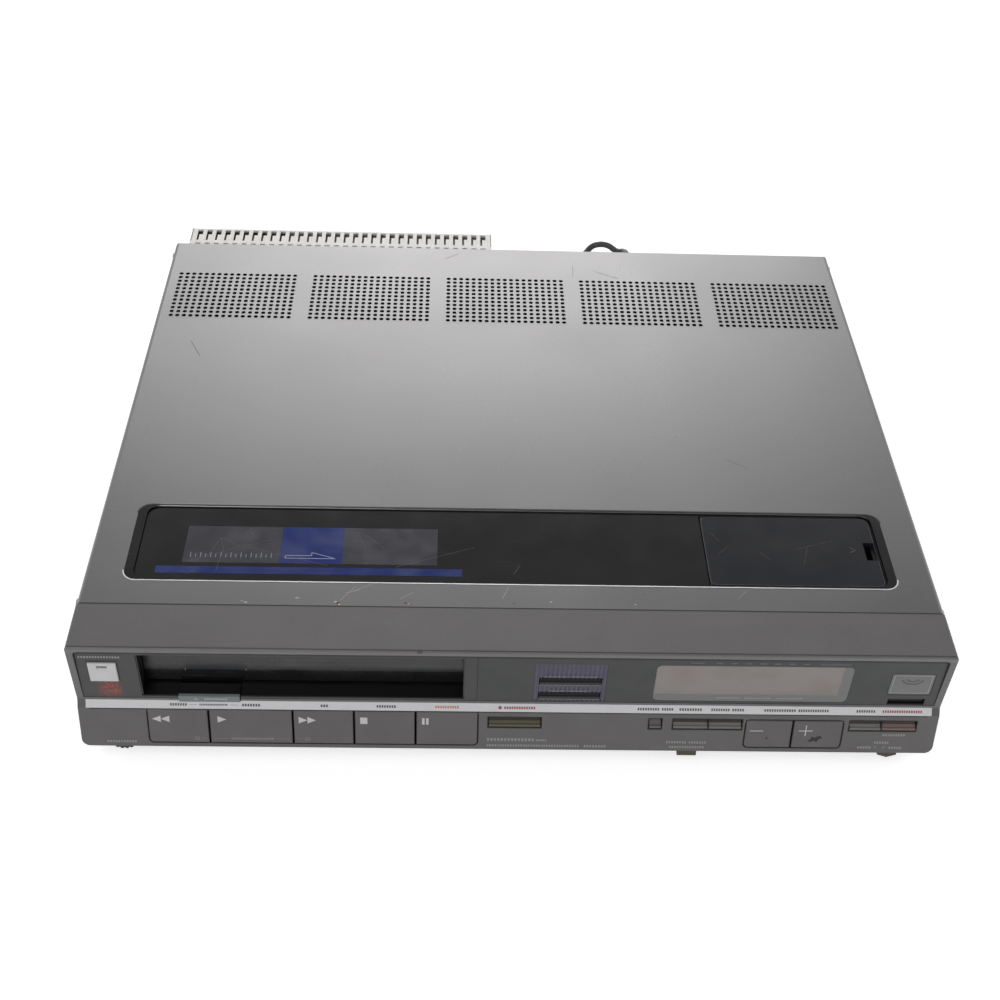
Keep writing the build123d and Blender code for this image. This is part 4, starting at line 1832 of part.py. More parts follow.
def cord_coil():
    """Spare lead wound in four layers of spiral turns, one unbroken tube."""
    centre = coil_centre()
    steps = round(coil_turns() * 4)
    nodes = [coil_turns() * i / steps for i in range(steps + 1)]
    points = [centre + coil_point(t) for t in nodes]
    tangents = [coil_tangent(t) for t in nodes]
    edges = [Edge.make_line(points[0] - tangents[0] * CORD_DIAMETER, points[0])]
    for i in range(steps):
        edges += biarc(points[i], tangents[i], points[i + 1], tangents[i + 1])
    edges.append(Edge.make_line(points[-1], points[-1] + tangents[-1] * CORD_DIAMETER))
    path = Wire(edges)
    print("coil turns", coil_turns(), "length", round(path.length, 1), "least gap", round(least_gap(), 2))
    return swept(path)


def least_gap():
    """Least distance between the surfaces of turns of the coil that aren't neighbours along it."""
    per_turn = 36
    count = int(coil_turns() * per_turn)
    points = [coil_point(i / per_turn) for i in range(count + 1)]
    least = 1e9
    for i, point in enumerate(points):
        for other in points[i + per_turn // 2:]:
            least = min(least, (point - other).length)
    return least - CORD_DIAMETER


def coil_ends():
    """Outer ends of the coil's two straight stubs, with their directions."""
    centre = coil_centre()
    first = coil_tangent(0)
    last = coil_tangent(coil_turns())
    start = centre + coil_point(0) - first * CORD_DIAMETER
    end = centre + coil_point(coil_turns()) + last * CORD_DIAMETER
    return start, first, end, last


def lead_route():
    """Points of the free lead from the gland, over its hump and down to the coil."""
    x = RIGHT - GLAND_END
    y = REAR_FACE_Y + GLAND_LENGTH
    start, first, _, _ = coil_ends()
    before = start - first * 17
    return [
        (x, y, GLAND_Z),
        (x, y + 9, GLAND_Z),
        (x - 6, y + 16, GLAND_Z - 3),
        (x - 13, y + 19.5, GLAND_Z + 0.5),
        (x - 22, y + 19.5, GLAND_Z - 0.5),
        (x - 27, y + 20, GLAND_Z - 10),
        (x - 34, y + 23.5, GLAND_Z - 26),
        (x - 37, y + 25, GLAND_Z - 46),
        (before.X, before.Y, start.Z),
        (start.X, start.Y, start.Z),
    ]


def tail_route():
    """Points of the short tail from the coil's top layer down to the plug."""
    _, _, end, last = coil_ends()
    plug = plug_entry()
    after = end + last * 11
    return [
        (end.X, end.Y, end.Z),
        (after.X, after.Y, end.Z),
        (after.X - 14, after.Y - 8.2, end.Z - 4.5),
        (plug.X + 14, plug.Y, plug.Z),
        (plug.X, plug.Y, plug.Z),
    ]


def plug_entry():
    """Point where the tail enters the plug's neck."""
    centre = coil_centre()
    return Vector(centre.X - 53, centre.Y + 5, PLUG_SIZE[2] / 2)


def mains_plug():
    """Two-pin plug lying on the floor, with its neck and pins along X."""
    length, width, height = PLUG_SIZE
    entry = plug_entry()
    x1 = entry.X - PLUG_NECK
    y, z = entry.Y, entry.Z
    body = block(x1 - length, x1, y - width / 2, y + width / 2, 0, height)
    body = rounded(body, Axis.Z, 6)
    body += facet_bar(3.4, (entry.X, y, z), (x1, y, z), 12, 5.2)
    for side in (-1, 1):
        py = y + side * PLUG_PIN_SPACING / 2
        body += rod(PLUG_PIN_RADIUS, (x1 - length, py, z), (x1 - length - PLUG_PIN_LENGTH, py, z))
    return body


def build_nodes():
    """All named pieces of the recorder."""
    nodes = {
        "base_chassis": base_chassis(),
        "top_cover": top_cover(),
        "rear_panel": rear_panel(),
        "rear_cage": rear_cage(),
        "front_fascia": front_fascia(),
        "trim_strip": trim_strip(),
        "cassette_bezel": cassette_bezel(),
        "display_panel": display_panel(),
        "display_window": pane(WINDOW_X0, WINDOW_X1, WINDOW_LOW_Z, WINDOW_TOP_Z, WINDOW_CORNER),
        "remote_window": pane(SENSOR_X0, SENSOR_X1, SENSOR_LOW_Z, SENSOR_TOP_Z, 1.2),
        "fluorescent_display": fluorescent_display(),
        "front_boards": front_boards(),
        "cassette_door": cassette_door(),
        "top_window": top_window(),
        "preset_lid": preset_lid(),
        "preset_tray": preset_tray(),
        "tuning_wheel": tuning_wheel(),
        "rubber_feet": rubber_feet(),
        "housing_screws": housing_screws(),
        "rear_sockets": rear_sockets(),
        "cord_gland": cord_gland(),
        "main_board": main_board(),
        "power_transformer": power_transformer(),
        "tuner_modules": tuner_modules(),
        "deck_plate": deck_plate(),
        "lower_drum": lower_drum(),
        "upper_drum": upper_drum(),
        "threading_ring": threading_ring(),
        "pinch_roller": pinch_roller(),
        "capstan": capstan(),
        "ring_drive_roller": ring_drive_roller(),
        "drive_motors": drive_motors(),
        "carriage_rails": carriage_rails(),
        "cassette_carriage": cassette_carriage(),
        "cassette_basket": cassette_basket(),
        "power_button": power_button(),
        "eject_button": eject_button(),
        "tracking_wheel": tracking_wheel(),
        "mains_cord": [run_tube("lead", lead_route()), run_tube("tail", tail_route())],
        "cord_coil": cord_coil(),
        "mains_plug": mains_plug(),
    }
    supply_x, take_up_x = reel_centres()
    nodes["supply_reel"] = reel(supply_x)
    nodes["take_up_reel"] = reel(take_up_x)
    for index, (name, span) in enumerate(zip(KEY_NAMES, KEYS)):
        nodes[name] = key_button(span, index)
    for name, span in SMALL_BUTTONS.items():
        nodes[name] = small_button(span)
    for index, (name, span) in enumerate(ROCKER_BUTTONS.items()):
        nodes[name] = rocker_button(span, index == 0)
    for name, top in COUNTERS.items():
        nodes[name] = counter_button(top)
    for name, (middle, point) in SLIDERS.items():
        nodes[name] = slider_knob(middle, point)
    return nodes


os.makedirs("parts", exist_ok=True)
for node_name, shape in build_nodes().items():
    pieces = shape if isinstance(shape, list) else [shape]
    solids = [solid for piece in pieces for solid in piece.solids()]
    whole = solids[0] if len(solids) == 1 else Compound(children=solids)
    export_step(whole, os.path.join("parts", node_name + ".step"))
print("nodes written:", len(os.listdir("parts")))
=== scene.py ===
import math

import bmesh
import bpy
from mathutils import Matrix, Vector


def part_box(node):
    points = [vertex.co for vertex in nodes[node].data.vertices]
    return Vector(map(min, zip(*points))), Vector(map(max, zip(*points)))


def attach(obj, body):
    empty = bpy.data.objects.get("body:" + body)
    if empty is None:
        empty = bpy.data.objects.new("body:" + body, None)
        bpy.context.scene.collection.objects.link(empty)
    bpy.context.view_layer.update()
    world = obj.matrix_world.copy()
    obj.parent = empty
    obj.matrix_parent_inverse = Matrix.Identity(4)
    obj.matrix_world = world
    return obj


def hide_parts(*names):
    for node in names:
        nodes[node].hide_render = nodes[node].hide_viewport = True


# Lengths are in millimetres, and MM turns them into metres. The camera's and the lamps' places are in metres.
MM = 0.001
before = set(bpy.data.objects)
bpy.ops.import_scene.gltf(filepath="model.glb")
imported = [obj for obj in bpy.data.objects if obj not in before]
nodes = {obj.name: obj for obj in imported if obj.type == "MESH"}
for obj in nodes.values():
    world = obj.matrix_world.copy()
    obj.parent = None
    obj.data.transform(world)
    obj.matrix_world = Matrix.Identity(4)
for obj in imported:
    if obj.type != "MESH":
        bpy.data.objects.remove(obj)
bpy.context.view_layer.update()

# Camera, fitted to the photograph
LENS = 51.9
SENSOR = 36.0
CAMERA_PLACE = (-0.03254, -0.64557, 0.59794)
CAMERA_RIGHT = (0.99930, -0.01506, 0.03420)
CAMERA_UP = (-0.01516, 0.67318, 0.73932)
CAMERA_BACK = (-0.03416, -0.73932, 0.67248)

# Planes of the front, upright above and sloping below, and of the top. Pairs are (Y, Z).
TOP_Z = 80.0
PANEL_Y = -182.8
SLOPE_ORIGIN = (-185.5, 36.85)
SLOPE_UP = (0.2340, 0.9722)
STRIP_TOP = (-183.1, 40.35)

# Heights of prints and painted light marks over the face that they lie on
INK = 0.04
OVER_INK = 0.06
LINE_INK = 0.07
SCRATCH_INK = 0.09
KEY_INK = 0.34

# Buttons of the sloping panel: side limits of each, and the height limits of each row on the slope
LEDGE_TOP_Z = 30.6
KEY_GROUP = (-181.0, -17.5)
KEY_V = (-20.73, -0.6)
ROCKER_GROUP = (117.9, 166.9)
ROCKER_V = (-20.5, -3.9)
SMALL_BUTTONS = ((-11.8, 14.0), (68.9, 74.7), (81.0, 98.2), (99.2, 115.4), (170.6, 186.2), (187.2, 204.0))
SMALL_V = (-9.4, -3.8)


def corners(node):
    """Lowest and highest corners of a node, in millimetres."""
    low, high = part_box(node)
    return Vector(low) / MM, Vector(high) / MM


def linear(red, green, blue):
    """Linear colour of an 8-bit screen colour."""
    channels = []
    for value in (red, green, blue):
        share = value / 255
        channels.append(share / 12.92 if share <= 0.04045 else ((share + 0.055) / 1.055) ** 2.4)
    return (*channels, 1.0)


def shade(colour, factor):
    """Colour made darker or lighter."""
    return (*(min(part * factor, 1.0) for part in colour[:3]), 1.0)


# Camera and cord
def make_camera():
    """Camera at the photograph's place and angle."""
    data = bpy.data.cameras.new("photo_camera")
    data.lens = LENS
    data.sensor_width = SENSOR
    camera = bpy.data.objects.new("photo_camera", data)
    axes = Matrix((CAMERA_RIGHT, CAMERA_UP, CAMERA_BACK)).transposed().to_4x4()
    camera.matrix_world = Matrix.Translation(CAMERA_PLACE) @ axes
    bpy.context.scene.collection.objects.link(camera)
    bpy.context.scene.camera = camera


CORD_DIAMETER = 4.0
LEAD_POINTS = [
    (84.0, 187.9, 66.0), (84.0, 195.4, 65.0), (79.5, 202.9, 58.5), (72.5, 206.6, 62.8), (62.5, 206.9, 61.8),
    (57.5, 207.9, 53.0), (50.0, 211.4, 40.0), (47.0, 212.9, 20.0), (54.5, 214.8, 2.0), (71.0, 214.8, 2.0),
]
TAIL_POINTS = [
    (71.0, 269.2, 14.3), (60.0, 269.2, 14.3), (46.0, 262.0, 11.0), (36.0, 248.0, 6.85), (22.0, 248.0, 6.85),
]
COIL_CENTRE = (75.0, 242.0)
COIL_OUTER = 27.175
COIL_INNER = 16.825
COIL_LAYERS = 4
COIL_LAYER_TURNS = 2.25
COIL_CLIMB_TURNS = 0.5
COIL_LIFT = 4.1
COIL_PITCH = 4.6
POINTS_PER_TURN = 16


def coil_point(turns):
    """Centre of the cord in the coil after a number of turns."""
    layer_turns = COIL_LAYER_TURNS + COIL_CLIMB_TURNS
    layer = min(int(turns / layer_turns), COIL_LAYERS - 1)
    local = turns - layer * layer_turns
    start, end = (COIL_OUTER, COIL_INNER) if layer % 2 == 0 else (COIL_INNER, COIL_OUTER)
    radius = start + (end - start) * min(local / COIL_LAYER_TURNS, 1)
    rise = 0.0
    if local > COIL_LAYER_TURNS:
        share = (local - COIL_LAYER_TURNS) / COIL_CLIMB_TURNS
        radius = end + math.copysign(1, end - start) * COIL_PITCH * COIL_CLIMB_TURNS * share * (1 - share)
        rise = 3 * share**2 - 2 * share**3
    angle = 2 * math.pi * turns - math.pi / 2
    x = COIL_CENTRE[0] + radius * math.cos(angle)
    y = COIL_CENTRE[1] + radius * math.sin(angle)
    return (x, y, CORD_DIAMETER / 2 + COIL_LIFT * (layer + rise))


def make_cord(material):
    """Mains lead: out of the strain relief, over its hump, round the coil and into the plug."""
    turns = COIL_LAYERS * COIL_LAYER_TURNS + (COIL_LAYERS - 1) * COIL_CLIMB_TURNS
    steps = round(turns * POINTS_PER_TURN)
    coil = [coil_point(turns * i / steps) for i in range(steps + 1)]
    route = LEAD_POINTS + coil + TAIL_POINTS
    curve = bpy.data.curves.new("mains_lead", "CURVE")
    curve.dimensions = "3D"
    curve.resolution_u = 6
    curve.bevel_depth = CORD_DIAMETER / 2 * MM
    curve.bevel_resolution = 4
    curve.use_fill_caps = True
    spline = curve.splines.new("NURBS")
    spline.points.add(len(route) - 1)
    for point, place in zip(spline.points, route):
        point.co = (*(Vector(place) * MM), 1.0)
    spline.order_u = 3
    spline.use_endpoint_u = True
    curve.materials.append(material)
    lead = bpy.data.objects.new("mains_lead", curve)
    bpy.context.scene.collection.objects.link(lead)
    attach(lead, "housing")
    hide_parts("mains_cord", "cord_coil")


# Materials
NOISE_ROUGHNESS = 0.55
NOISE_BODY = (0.3, 0.7)  # most values of a noise lie between these


class Shading:
    """Node tree being built."""

    def __init__(self, tree):
        self.tree = tree

    def node(self, kind, inputs=(), **settings):
        """New node with its settings and inputs; an input is a value or another node's output."""
        made = self.tree.nodes.new("ShaderNode" + kind)
        for key, value in settings.items():
            setattr(made, key, value)
        for key, value in dict(inputs).items():
            if isinstance(value, bpy.types.NodeSocket):
                self.tree.links.new(value, made.inputs[key])
            else:
                made.inputs[key].default_value = value
        return made

    def span(self, value, low, high, start=0.0, end=1.0, kind="LINEAR"):
        """Value mapped from one range to another and held at its ends."""
        inputs = {"Value": value, "From Min": low, "From Max": high, "To Min": start, "To Max": end}
        return self.node("MapRange", inputs, interpolation_type=kind).outputs["Result"]

    def math(self, operation, *values):
        """Result of an operation on one to three values."""
        return self.node("Math", enumerate(values), operation=operation).outputs[0]


class Finish(Shading):
    """Material being built, with its places taken from the object's own coordinates."""

    def __init__(self, name, colour, roughness, metallic=0.0, **sockets):
        self.material = bpy.data.materials.new(name)
        self.material.use_nodes = True
        self.material.diffuse_color = colour
        super().__init__(self.material.node_tree)
        self.shader = self.tree.nodes["Principled BSDF"]
        values = {"Base Color": colour, "Roughness": roughness, "Metallic": metallic, **sockets}
        for key, value in values.items():
            self.shader.inputs[key.replace("_", " ")].default_value = value
        self.place = self.node("TexCoord").outputs["Object"]
        self.colour = colour
        self.normal = None

    def noise(self, size, detail=3.0, stretch=(1, 1, 1), turn=0.0):
        """Noise with features of about the given size."""
        scale = tuple(part / (size * MM) for part in stretch)
        settings = {"Vector": self.place, "Rotation": (0, 0, turn), "Scale": scale}
        mapped = self.node("Mapping", settings).outputs["Vector"]
        inputs = {"Vector": mapped, "Scale": 1.0, "Detail": detail, "Roughness": NOISE_ROUGHNESS}
        return self.node("TexNoise", inputs).outputs["Fac"]

    def axis(self, name):
        """One coordinate of the place, in metres."""
        return self.node("SeparateXYZ", {0: self.place}).outputs[name]

    def step(self, name, low, high, start=0.0, end=1.0):
        """Value that goes from start to end between two places on an axis."""
        return self.span(self.axis(name), low * MM, high * MM, start, end)

    def box(self, x_range, y_range, z_range, soft):
        """Mask that is high inside a box; an axis without limits is None."""
        mask = None
        for name, limits in zip("XYZ", (x_range, y_range, z_range)):
            if limits is None:
                continue
            low, high = limits
            rise = self.step(name, low - soft, low + soft)
            fall = self.step(name, high - soft, high + soft, 1.0, 0.0)
            part = self.math("MULTIPLY", rise, fall)
            mask = part if mask is None else self.math("MULTIPLY", mask, part)
        return mask

    def hairlines(self, turn, width, length, low=0.68, high=0.74):
        """Mask of fine scratches along one direction, in patches."""
        lines = self.noise(width, 1.0, (width / length, 1, 1), turn)
        patches = self.noise(60.0, 2.0)
        return self.math("MULTIPLY", self.span(lines, low, high), self.span(patches, 0.45, 0.6))

    def tint(self, mask, colour, amount=1.0):
        """Base colour turned towards another where the mask is high."""
        if amount < 1.0:
            mask = self.math("MULTIPLY", mask, amount)
        inputs = {"Factor": mask, 6: self.colour, 7: colour}
        self.colour = self.node("Mix", inputs, data_type="RGBA").outputs[2]

    def mottle(self, noise, low, high, amount, colour):
        """Colour in soft patches, by up to an amount."""
        self.tint(self.span(noise, low, high, 0.0, amount), colour)

    def bump(self, height, depth, strength):
        """Relief of a depth."""
        inputs = {"Height": height, "Distance": depth * MM, "Strength": strength}
        self.normal = self.node("Bump", inputs).outputs["Normal"]

    def rough(self, value):
        """Roughness from a value."""
        self.tree.links.new(value, self.shader.inputs["Roughness"])

    def sheen(self, size, detail, low, high):
        """Roughness that wanders between two values."""
        self.rough(self.span(self.noise(size, detail), *NOISE_BODY, low, high))

    def done(self):
        """Material with its colour and relief joined to the shader."""
        if isinstance(self.colour, bpy.types.NodeSocket):
            self.tree.links.new(self.colour, self.shader.inputs["Base Color"])
        if self.normal is not None:
            self.tree.links.new(self.normal, self.shader.inputs["Normal"])
        return self.material


# Black of the painted shade in openings, gaps and slots
PAINTED_SHADE_BLACK = linear(15, 15, 16)
UPPER_X = (-211.2, 211.2)
UPPER_TOP_Z = (73.5, 73.8)
LOWER_TOP_Z = (36.0, 37.5)
NOSE_HIGHLIGHT = (None, (-185.0, -183.4), (76.0, 78.9), 0.15)
NOSE_SHADE_LINE = (None, (-185.0, -182.8), (79.1, 79.6), 0.12)
NOSE_DENT = ((-47.4, -45.0), (-186.0, -183.2), (78.0, 80.5), 0.4)
LOWER_OPENINGS = ((-212.5, 212.5), (-190.0, -160.0), (15.4, 37.5), 0.1)
UPPER_OPENINGS = ((-211.0, 211.0), (-181.9, -158.0), (41.2, 75.2), 0.2)
RED_PAINT = ((-202.4, -193.2), None, (43.8, 53.0), 2.0)
RIBBED_FIELD = ((9.5, 45.5), (-184.0, -181.9), (42.8, 69.8), 0.25)
PANE_ALPHA = 0.72


def cover_paint():
    """Gunmetal metallic paint of the folded cover, with fine flake and faint clouds."""
    base = linear(131, 130, 130)
    coat = Finish("cover_paint", base, 0.28, 0.88)
    coat.mottle(coat.noise(1.1, 1.0), 0.3, 0.7, 0.22, shade(base, 0.8))
    coat.mottle(coat.noise(90.0, 1.0), 0.4, 0.62, 0.1, shade(base, 1.15))
    coat.sheen(60.0, 1.0, 0.27, 0.31)
    coat.bump(coat.noise(1.3, 1.0), 0.01, 0.12)
    return coat.done()


def moulded(name, base, roughness, grain=0.4, metallic=0.0):
    """Painted or moulded plastic with fine grain, patchy sheen and hairlines, not yet joined."""
    coat = Finish(name, base, roughness, metallic)
    coat.mottle(coat.noise(grain, 2.0), 0.35, 0.65, 0.35, shade(base, 0.82))
    coat.mottle(coat.noise(35.0, 4.0), 0.45, 0.65, 0.2, shade(base, 1.15))
    coat.tint(coat.hairlines(0.8, 0.2, 14.0, 0.72, 0.8), shade(base, 1.6))
    coat.sheen(12.0, 4.0, roughness - 0.06, roughness + 0.08)
    coat.bump(coat.noise(grain, 2.0), 0.05, 0.25)
    return coat


def slope_depth(coat):
    """Depth behind the sloping lower panel, in metres."""
    up_y, up_z = SLOPE_UP
    back = coat.math("SUBTRACT", coat.axis("Y"), SLOPE_ORIGIN[0] * MM)
    rise = coat.math("SUBTRACT", coat.axis("Z"), SLOPE_ORIGIN[1] * MM)
    return coat.math("SUBTRACT", coat.math("MULTIPLY", back, up_z), coat.math("MULTIPLY", rise, up_y))


def fascia_coat():
    """Grey coat of the front moulding: painted shade below the strip and inside its openings, a painted
    highlight along the nose with a painted shade line in the crease above it, and a dark spot at a dent.
    """
    base = linear(112, 110, 110)
    coat = moulded("fascia_paint", base, 0.42, 1.1, 0.25)
    # Painted shade: the part below the strip is painted darker, where less light falls
    coat.tint(coat.step("Z", *LOWER_TOP_Z, 1.0, 0.0), shade(base, 0.72), 0.55)
    # Painted highlight: the rounded nose is painted lighter
    coat.tint(coat.box(*NOSE_HIGHLIGHT), shade(base, 1.3), 0.7)
    # Painted shade: a dark line in the crease above the nose
    coat.tint(coat.box(*NOSE_SHADE_LINE), shade(base, 0.35), 0.8)
    coat.tint(coat.box(*NOSE_DENT), shade(base, 0.3), 0.7)
    # Painted shade: black inside the openings of the lower and upper parts
    inside = coat.span(slope_depth(coat), 0.4 * MM, 0.6 * MM)
    coat.tint(coat.math("MULTIPLY", inside, coat.box(*LOWER_OPENINGS)), linear(22, 22, 23))
    coat.tint(coat.box(*UPPER_OPENINGS), PAINTED_SHADE_BLACK)
    return coat.done()


def paint_shade_inside(coat):
    """Painted shade: black everywhere behind the face of an upper panel, and in the shadow gap around it."""
    coat.tint(coat.step("Y", PANEL_Y + 0.7, PANEL_Y + 0.9), PAINTED_SHADE_BLACK)
    coat.tint(coat.step("Z", *UPPER_TOP_Z), PAINTED_SHADE_BLACK)
    field = coat.box(UPPER_X, None, None, 0.15)
    coat.tint(coat.span(field, 0.0, 1.0, 1.0, 0.0), PAINTED_SHADE_BLACK)


def upper_coat(name, base):
    """Dark grey coat of an upper panel, not yet joined."""
    coat = Finish(name, base, 0.4)
    coat.mottle(coat.noise(0.4, 2.0), 0.35, 0.65, 0.35, shade(base, 0.82))
    coat.bump(coat.noise(0.5, 2.0), 0.05, 0.25)
    return coat


def panel_coat():
    """Left upper panel, with the orange paint left below the power button."""
    base = linear(60, 60, 61)
    coat = upper_coat("panel_coat", base)
    coat.mottle(coat.noise(40.0), 0.45, 0.65, 0.2, shade(base, 1.2))
    flakes = coat.span(coat.noise(1.1, 5.0, (1, 1, 0.7)), 0.4, 0.66, 0.1, 0.85)
    coat.tint(coat.math("MULTIPLY", coat.box(*RED_PAINT), flakes), linear(204, 76, 56))
    coat.sheen(12.0, 4.0, 0.34, 0.48)
    paint_shade_inside(coat)
    return coat.done()


def display_coat():
    """Right upper panel: the same coat, with the lavender ribbed field in it."""
    coat = upper_coat("display_coat", linear(59, 60, 61))
    coat.tint(coat.box(*RIBBED_FIELD), linear(84, 80, 102))
    coat.sheen(12.0, 4.0, 0.36, 0.5)
    paint_shade_inside(coat)
    return coat.done()


def tab_coat():
    """Grey-blue face of the cassette tab, with painted shade, black, where it runs back into the slot."""
    coat = moulded("tab_plastic", linear(128, 135, 137), 0.4)
    # Painted shade inside the slot
    coat.tint(coat.step("Y", -182.2, -182.0), PAINTED_SHADE_BLACK)
    return coat.done()


def bar_coat(name, base, ledge):
    """Recessed button with a painted highlight: its ledge along the low edge is painted lighter."""
    coat = moulded(name, base, 0.4)
    # Painted highlight on the ledge
    coat.tint(coat.step("Z", LEDGE_TOP_Z, LEDGE_TOP_Z + 0.3, 1.0, 0.0), ledge)
    return coat.done()


def glazing(name, base, roughness=0.09):
    """Smoked plastic with swirls and hairline scratches."""
    coat = Finish(name, base, roughness, Coat_Weight=0.25, Coat_Roughness=0.05)
    coat.mottle(coat.noise(28.0, 4.0, (1, 2, 1), 0.4), 0.5, 0.72, 0.3, shade(base, 1.6))
    coat.tint(coat.hairlines(0.45, 0.14, 26.0, 0.75, 0.8), linear(84, 84, 87))
    coat.tint(coat.hairlines(-0.7, 0.14, 18.0, 0.76, 0.81), linear(78, 78, 82))
    coat.sheen(20.0, 4.0, roughness, roughness + 0.06)
    coat.bump(coat.noise(6.0, 2.0), 0.02, 0.1)
    return coat.done()


def door_plastic():
    """Glossy black door, grey from a height up: lighter in a band, a little darker above it."""
    coat = Finish("door_plastic", linear(24, 24, 26), 0.2)
    coat.tint(coat.step("Z", 52.2, 52.5), linear(60, 61, 63))
    coat.tint(coat.step("Z", 57.2, 57.5), linear(50, 51, 53))
    coat.mottle(coat.noise(9.0, 3.0, (0.2, 1, 1)), 0.5, 0.7, 0.3, linear(40, 40, 42))
    coat.tint(coat.hairlines(0.1, 0.2, 20.0), linear(80, 80, 82))
    coat.sheen(18.0, 3.0, 0.16, 0.32)
    return coat.done()


def strip_metal():
    """Bright brushed aluminium strip."""
    base = linear(246, 246, 248)
    coat = Finish("strip_metal", base, 0.34, 0.2)
    brushing = coat.noise(0.1, 2.0, (0.015, 1, 1))
    coat.mottle(brushing, 0.35, 0.65, 0.2, shade(base, 0.85))
    coat.mottle(coat.noise(14.0), 0.6, 0.75, 0.2, shade(base, 0.75))
    coat.rough(coat.span(brushing, *NOISE_BODY, 0.26, 0.38))
    coat.bump(brushing, 0.01, 0.12)
    return coat.done()


def bare_metal(name, base, roughness, stretch=(0.04, 1, 1), size=0.3):
    """Sheet or turned metal with a brushed grain and dull patches; also the painted highlight along the
    recess's front edge.
    """
    coat = Finish(name, base, roughness, 0.95)
    brushing = coat.noise(size, 2.0, stretch)
    coat.mottle(brushing, 0.35, 0.65, 0.35, shade(base, 0.75))
    coat.mottle(coat.noise(30.0, 5.0), 0.5, 0.7, 0.3, shade(base, 0.6))
    coat.sheen(10.0, 4.0, roughness - 0.07, roughness + 0.12)
    coat.bump(brushing, 0.02, 0.25)
    return coat.done()


def enamel():
    """Cream-white enamel of the cage, with faint yellowing."""
    coat = Finish("cage_white", linear(252, 251, 248), 0.5)
    coat.mottle(coat.noise(45.0, 4.0), 0.45, 0.7, 0.35, linear(236, 232, 216))
    coat.sheen(8.0, 3.0, 0.42, 0.58)
    coat.bump(coat.noise(0.8, 2.0), 0.05, 0.25)
    return coat.done()


def rubber(name, base, roughness=0.7):
    """Matte rubber or soft plastic with dust."""
    coat = Finish(name, base, roughness)
    coat.mottle(coat.noise(0.5, 2.0), 0.35, 0.7, 0.4, shade(base, 1.6))
    coat.mottle(coat.noise(14.0, 4.0), 0.5, 0.7, 0.3, shade(base, 2.0))
    coat.sheen(5.0, 3.0, roughness - 0.12, roughness + 0.1)
    coat.bump(coat.noise(0.6, 2.0), 0.08, 0.35)
    return coat.done()


def screen_glass():
    """Warm grey face of the display tube, with a darker grid."""
    coat = Finish("screen_glass", linear(226, 214, 208), 0.25, Coat_Weight=0.2, Coat_Roughness=0.1)
    grid = coat.noise(0.3, 1.0, (1, 1, 0.05))
    coat.mottle(coat.noise(30.0), 0.4, 0.65, 0.3, linear(208, 202, 196))
    coat.mottle(grid, 0.45, 0.6, 0.2, linear(176, 168, 164))
    coat.bump(grid, 0.02, 0.2)
    return coat.done()


def pane_plastic():
    """Tinted pane over the display: clear in its upper part, frosted along its foot and right end."""
    coat = Finish("pane_plastic", linear(180, 171, 167), 0.12, Alpha=PANE_ALPHA)
    foot = coat.step("Z", 48.6, 48.9, 1.0, 0.0)
    frosted = coat.math("MAXIMUM", foot, coat.step("X", 161.2, 161.5))
    coat.mottle(coat.noise(30.0, 2.0), 0.45, 0.65, 0.4, linear(158, 146, 142))
    coat.tint(frosted, linear(126, 127, 128))
    coat.tint(coat.hairlines(0.7, 0.2, 16.0, 0.74, 0.8), linear(190, 190, 190))
    coat.tree.links.new(coat.span(frosted, 0.0, 1.0, PANE_ALPHA, 0.98), coat.shader.inputs["Alpha"])
    coat.sheen(15.0, 4.0, 0.1, 0.24)
    return coat.done()


def sensor_plastic():
    """Translucent grey sensor pane."""
    coat = Finish("sensor_plastic", linear(112, 113, 112), 0.22, Coat_Weight=0.2, Coat_Roughness=0.08)
    coat.tint(coat.step("Z", 51.0, 64.0, 0.3, 0.0), linear(132, 133, 132))
    coat.tint(coat.hairlines(0.7, 0.2, 12.0), linear(150, 150, 150))
    coat.sheen(9.0, 4.0, 0.15, 0.3)
    return coat.done()


def board_resin():
    """Circuit board with faint tracks and solder."""
    coat = Finish("board_resin", linear(70, 98, 60), 0.4)
    tracks = coat.noise(3.0, 0.0, (1, 0.2, 1))
    coat.mottle(tracks, 0.5, 0.52, 0.5, linear(110, 130, 84))
    coat.tint(coat.span(coat.noise(1.4, 0.0), 0.74, 0.77), linear(176, 176, 172))
    coat.rough(coat.span(tracks, 0.4, 0.6, 0.3, 0.5))
    coat.bump(tracks, 0.05, 0.3)
    return coat.done()


def core_iron():
    """Laminated transformer core with varnish."""
    base = linear(96, 84, 70)
    coat = Finish("core_iron", base, 0.45, 0.4)
    leaves = coat.noise(0.5, 0.0, (0.01, 0.01, 1))
    coat.mottle(leaves, 0.4, 0.6, 0.6, shade(base, 0.5))
    coat.sheen(6.0, 3.0, 0.35, 0.6)
    coat.bump(leaves, 0.1, 0.5)
    return coat.done()


def print_and_painted_light_ink(name, *colour, worn=0.35):
    """Screen-printed ink, a little worn, of an 8-bit screen colour; also the flat colour of the painted
    shade, shadow and highlight marks.
    """
    base = linear(*colour)
    coat = Finish(name, base, 0.5)
    coat.mottle(coat.noise(1.2, 4.0), 0.5, 0.72, worn, shade(base, 0.55))
    coat.sheen(4.0, 3.0, 0.42, 0.6)
    return coat.done()


def window_ink(name, *colour):
    """Print seen under the scratched glazing, of an 8-bit screen colour."""
    base = linear(*colour)
    coat = Finish(name, base, 0.16, Coat_Weight=0.25, Coat_Roughness=0.05)
    coat.tint(coat.hairlines(0.45, 0.18, 45.0, 0.64, 0.7), shade(base, 1.8))
    coat.tint(coat.hairlines(-0.7, 0.16, 30.0, 0.66, 0.72), shade(base, 1.6))
    coat.mottle(coat.noise(16.0, 4.0), 0.45, 0.7, 0.5, shade(base, 0.8))
    coat.sheen(14.0, 4.0, 0.12, 0.28)
    return coat.done()


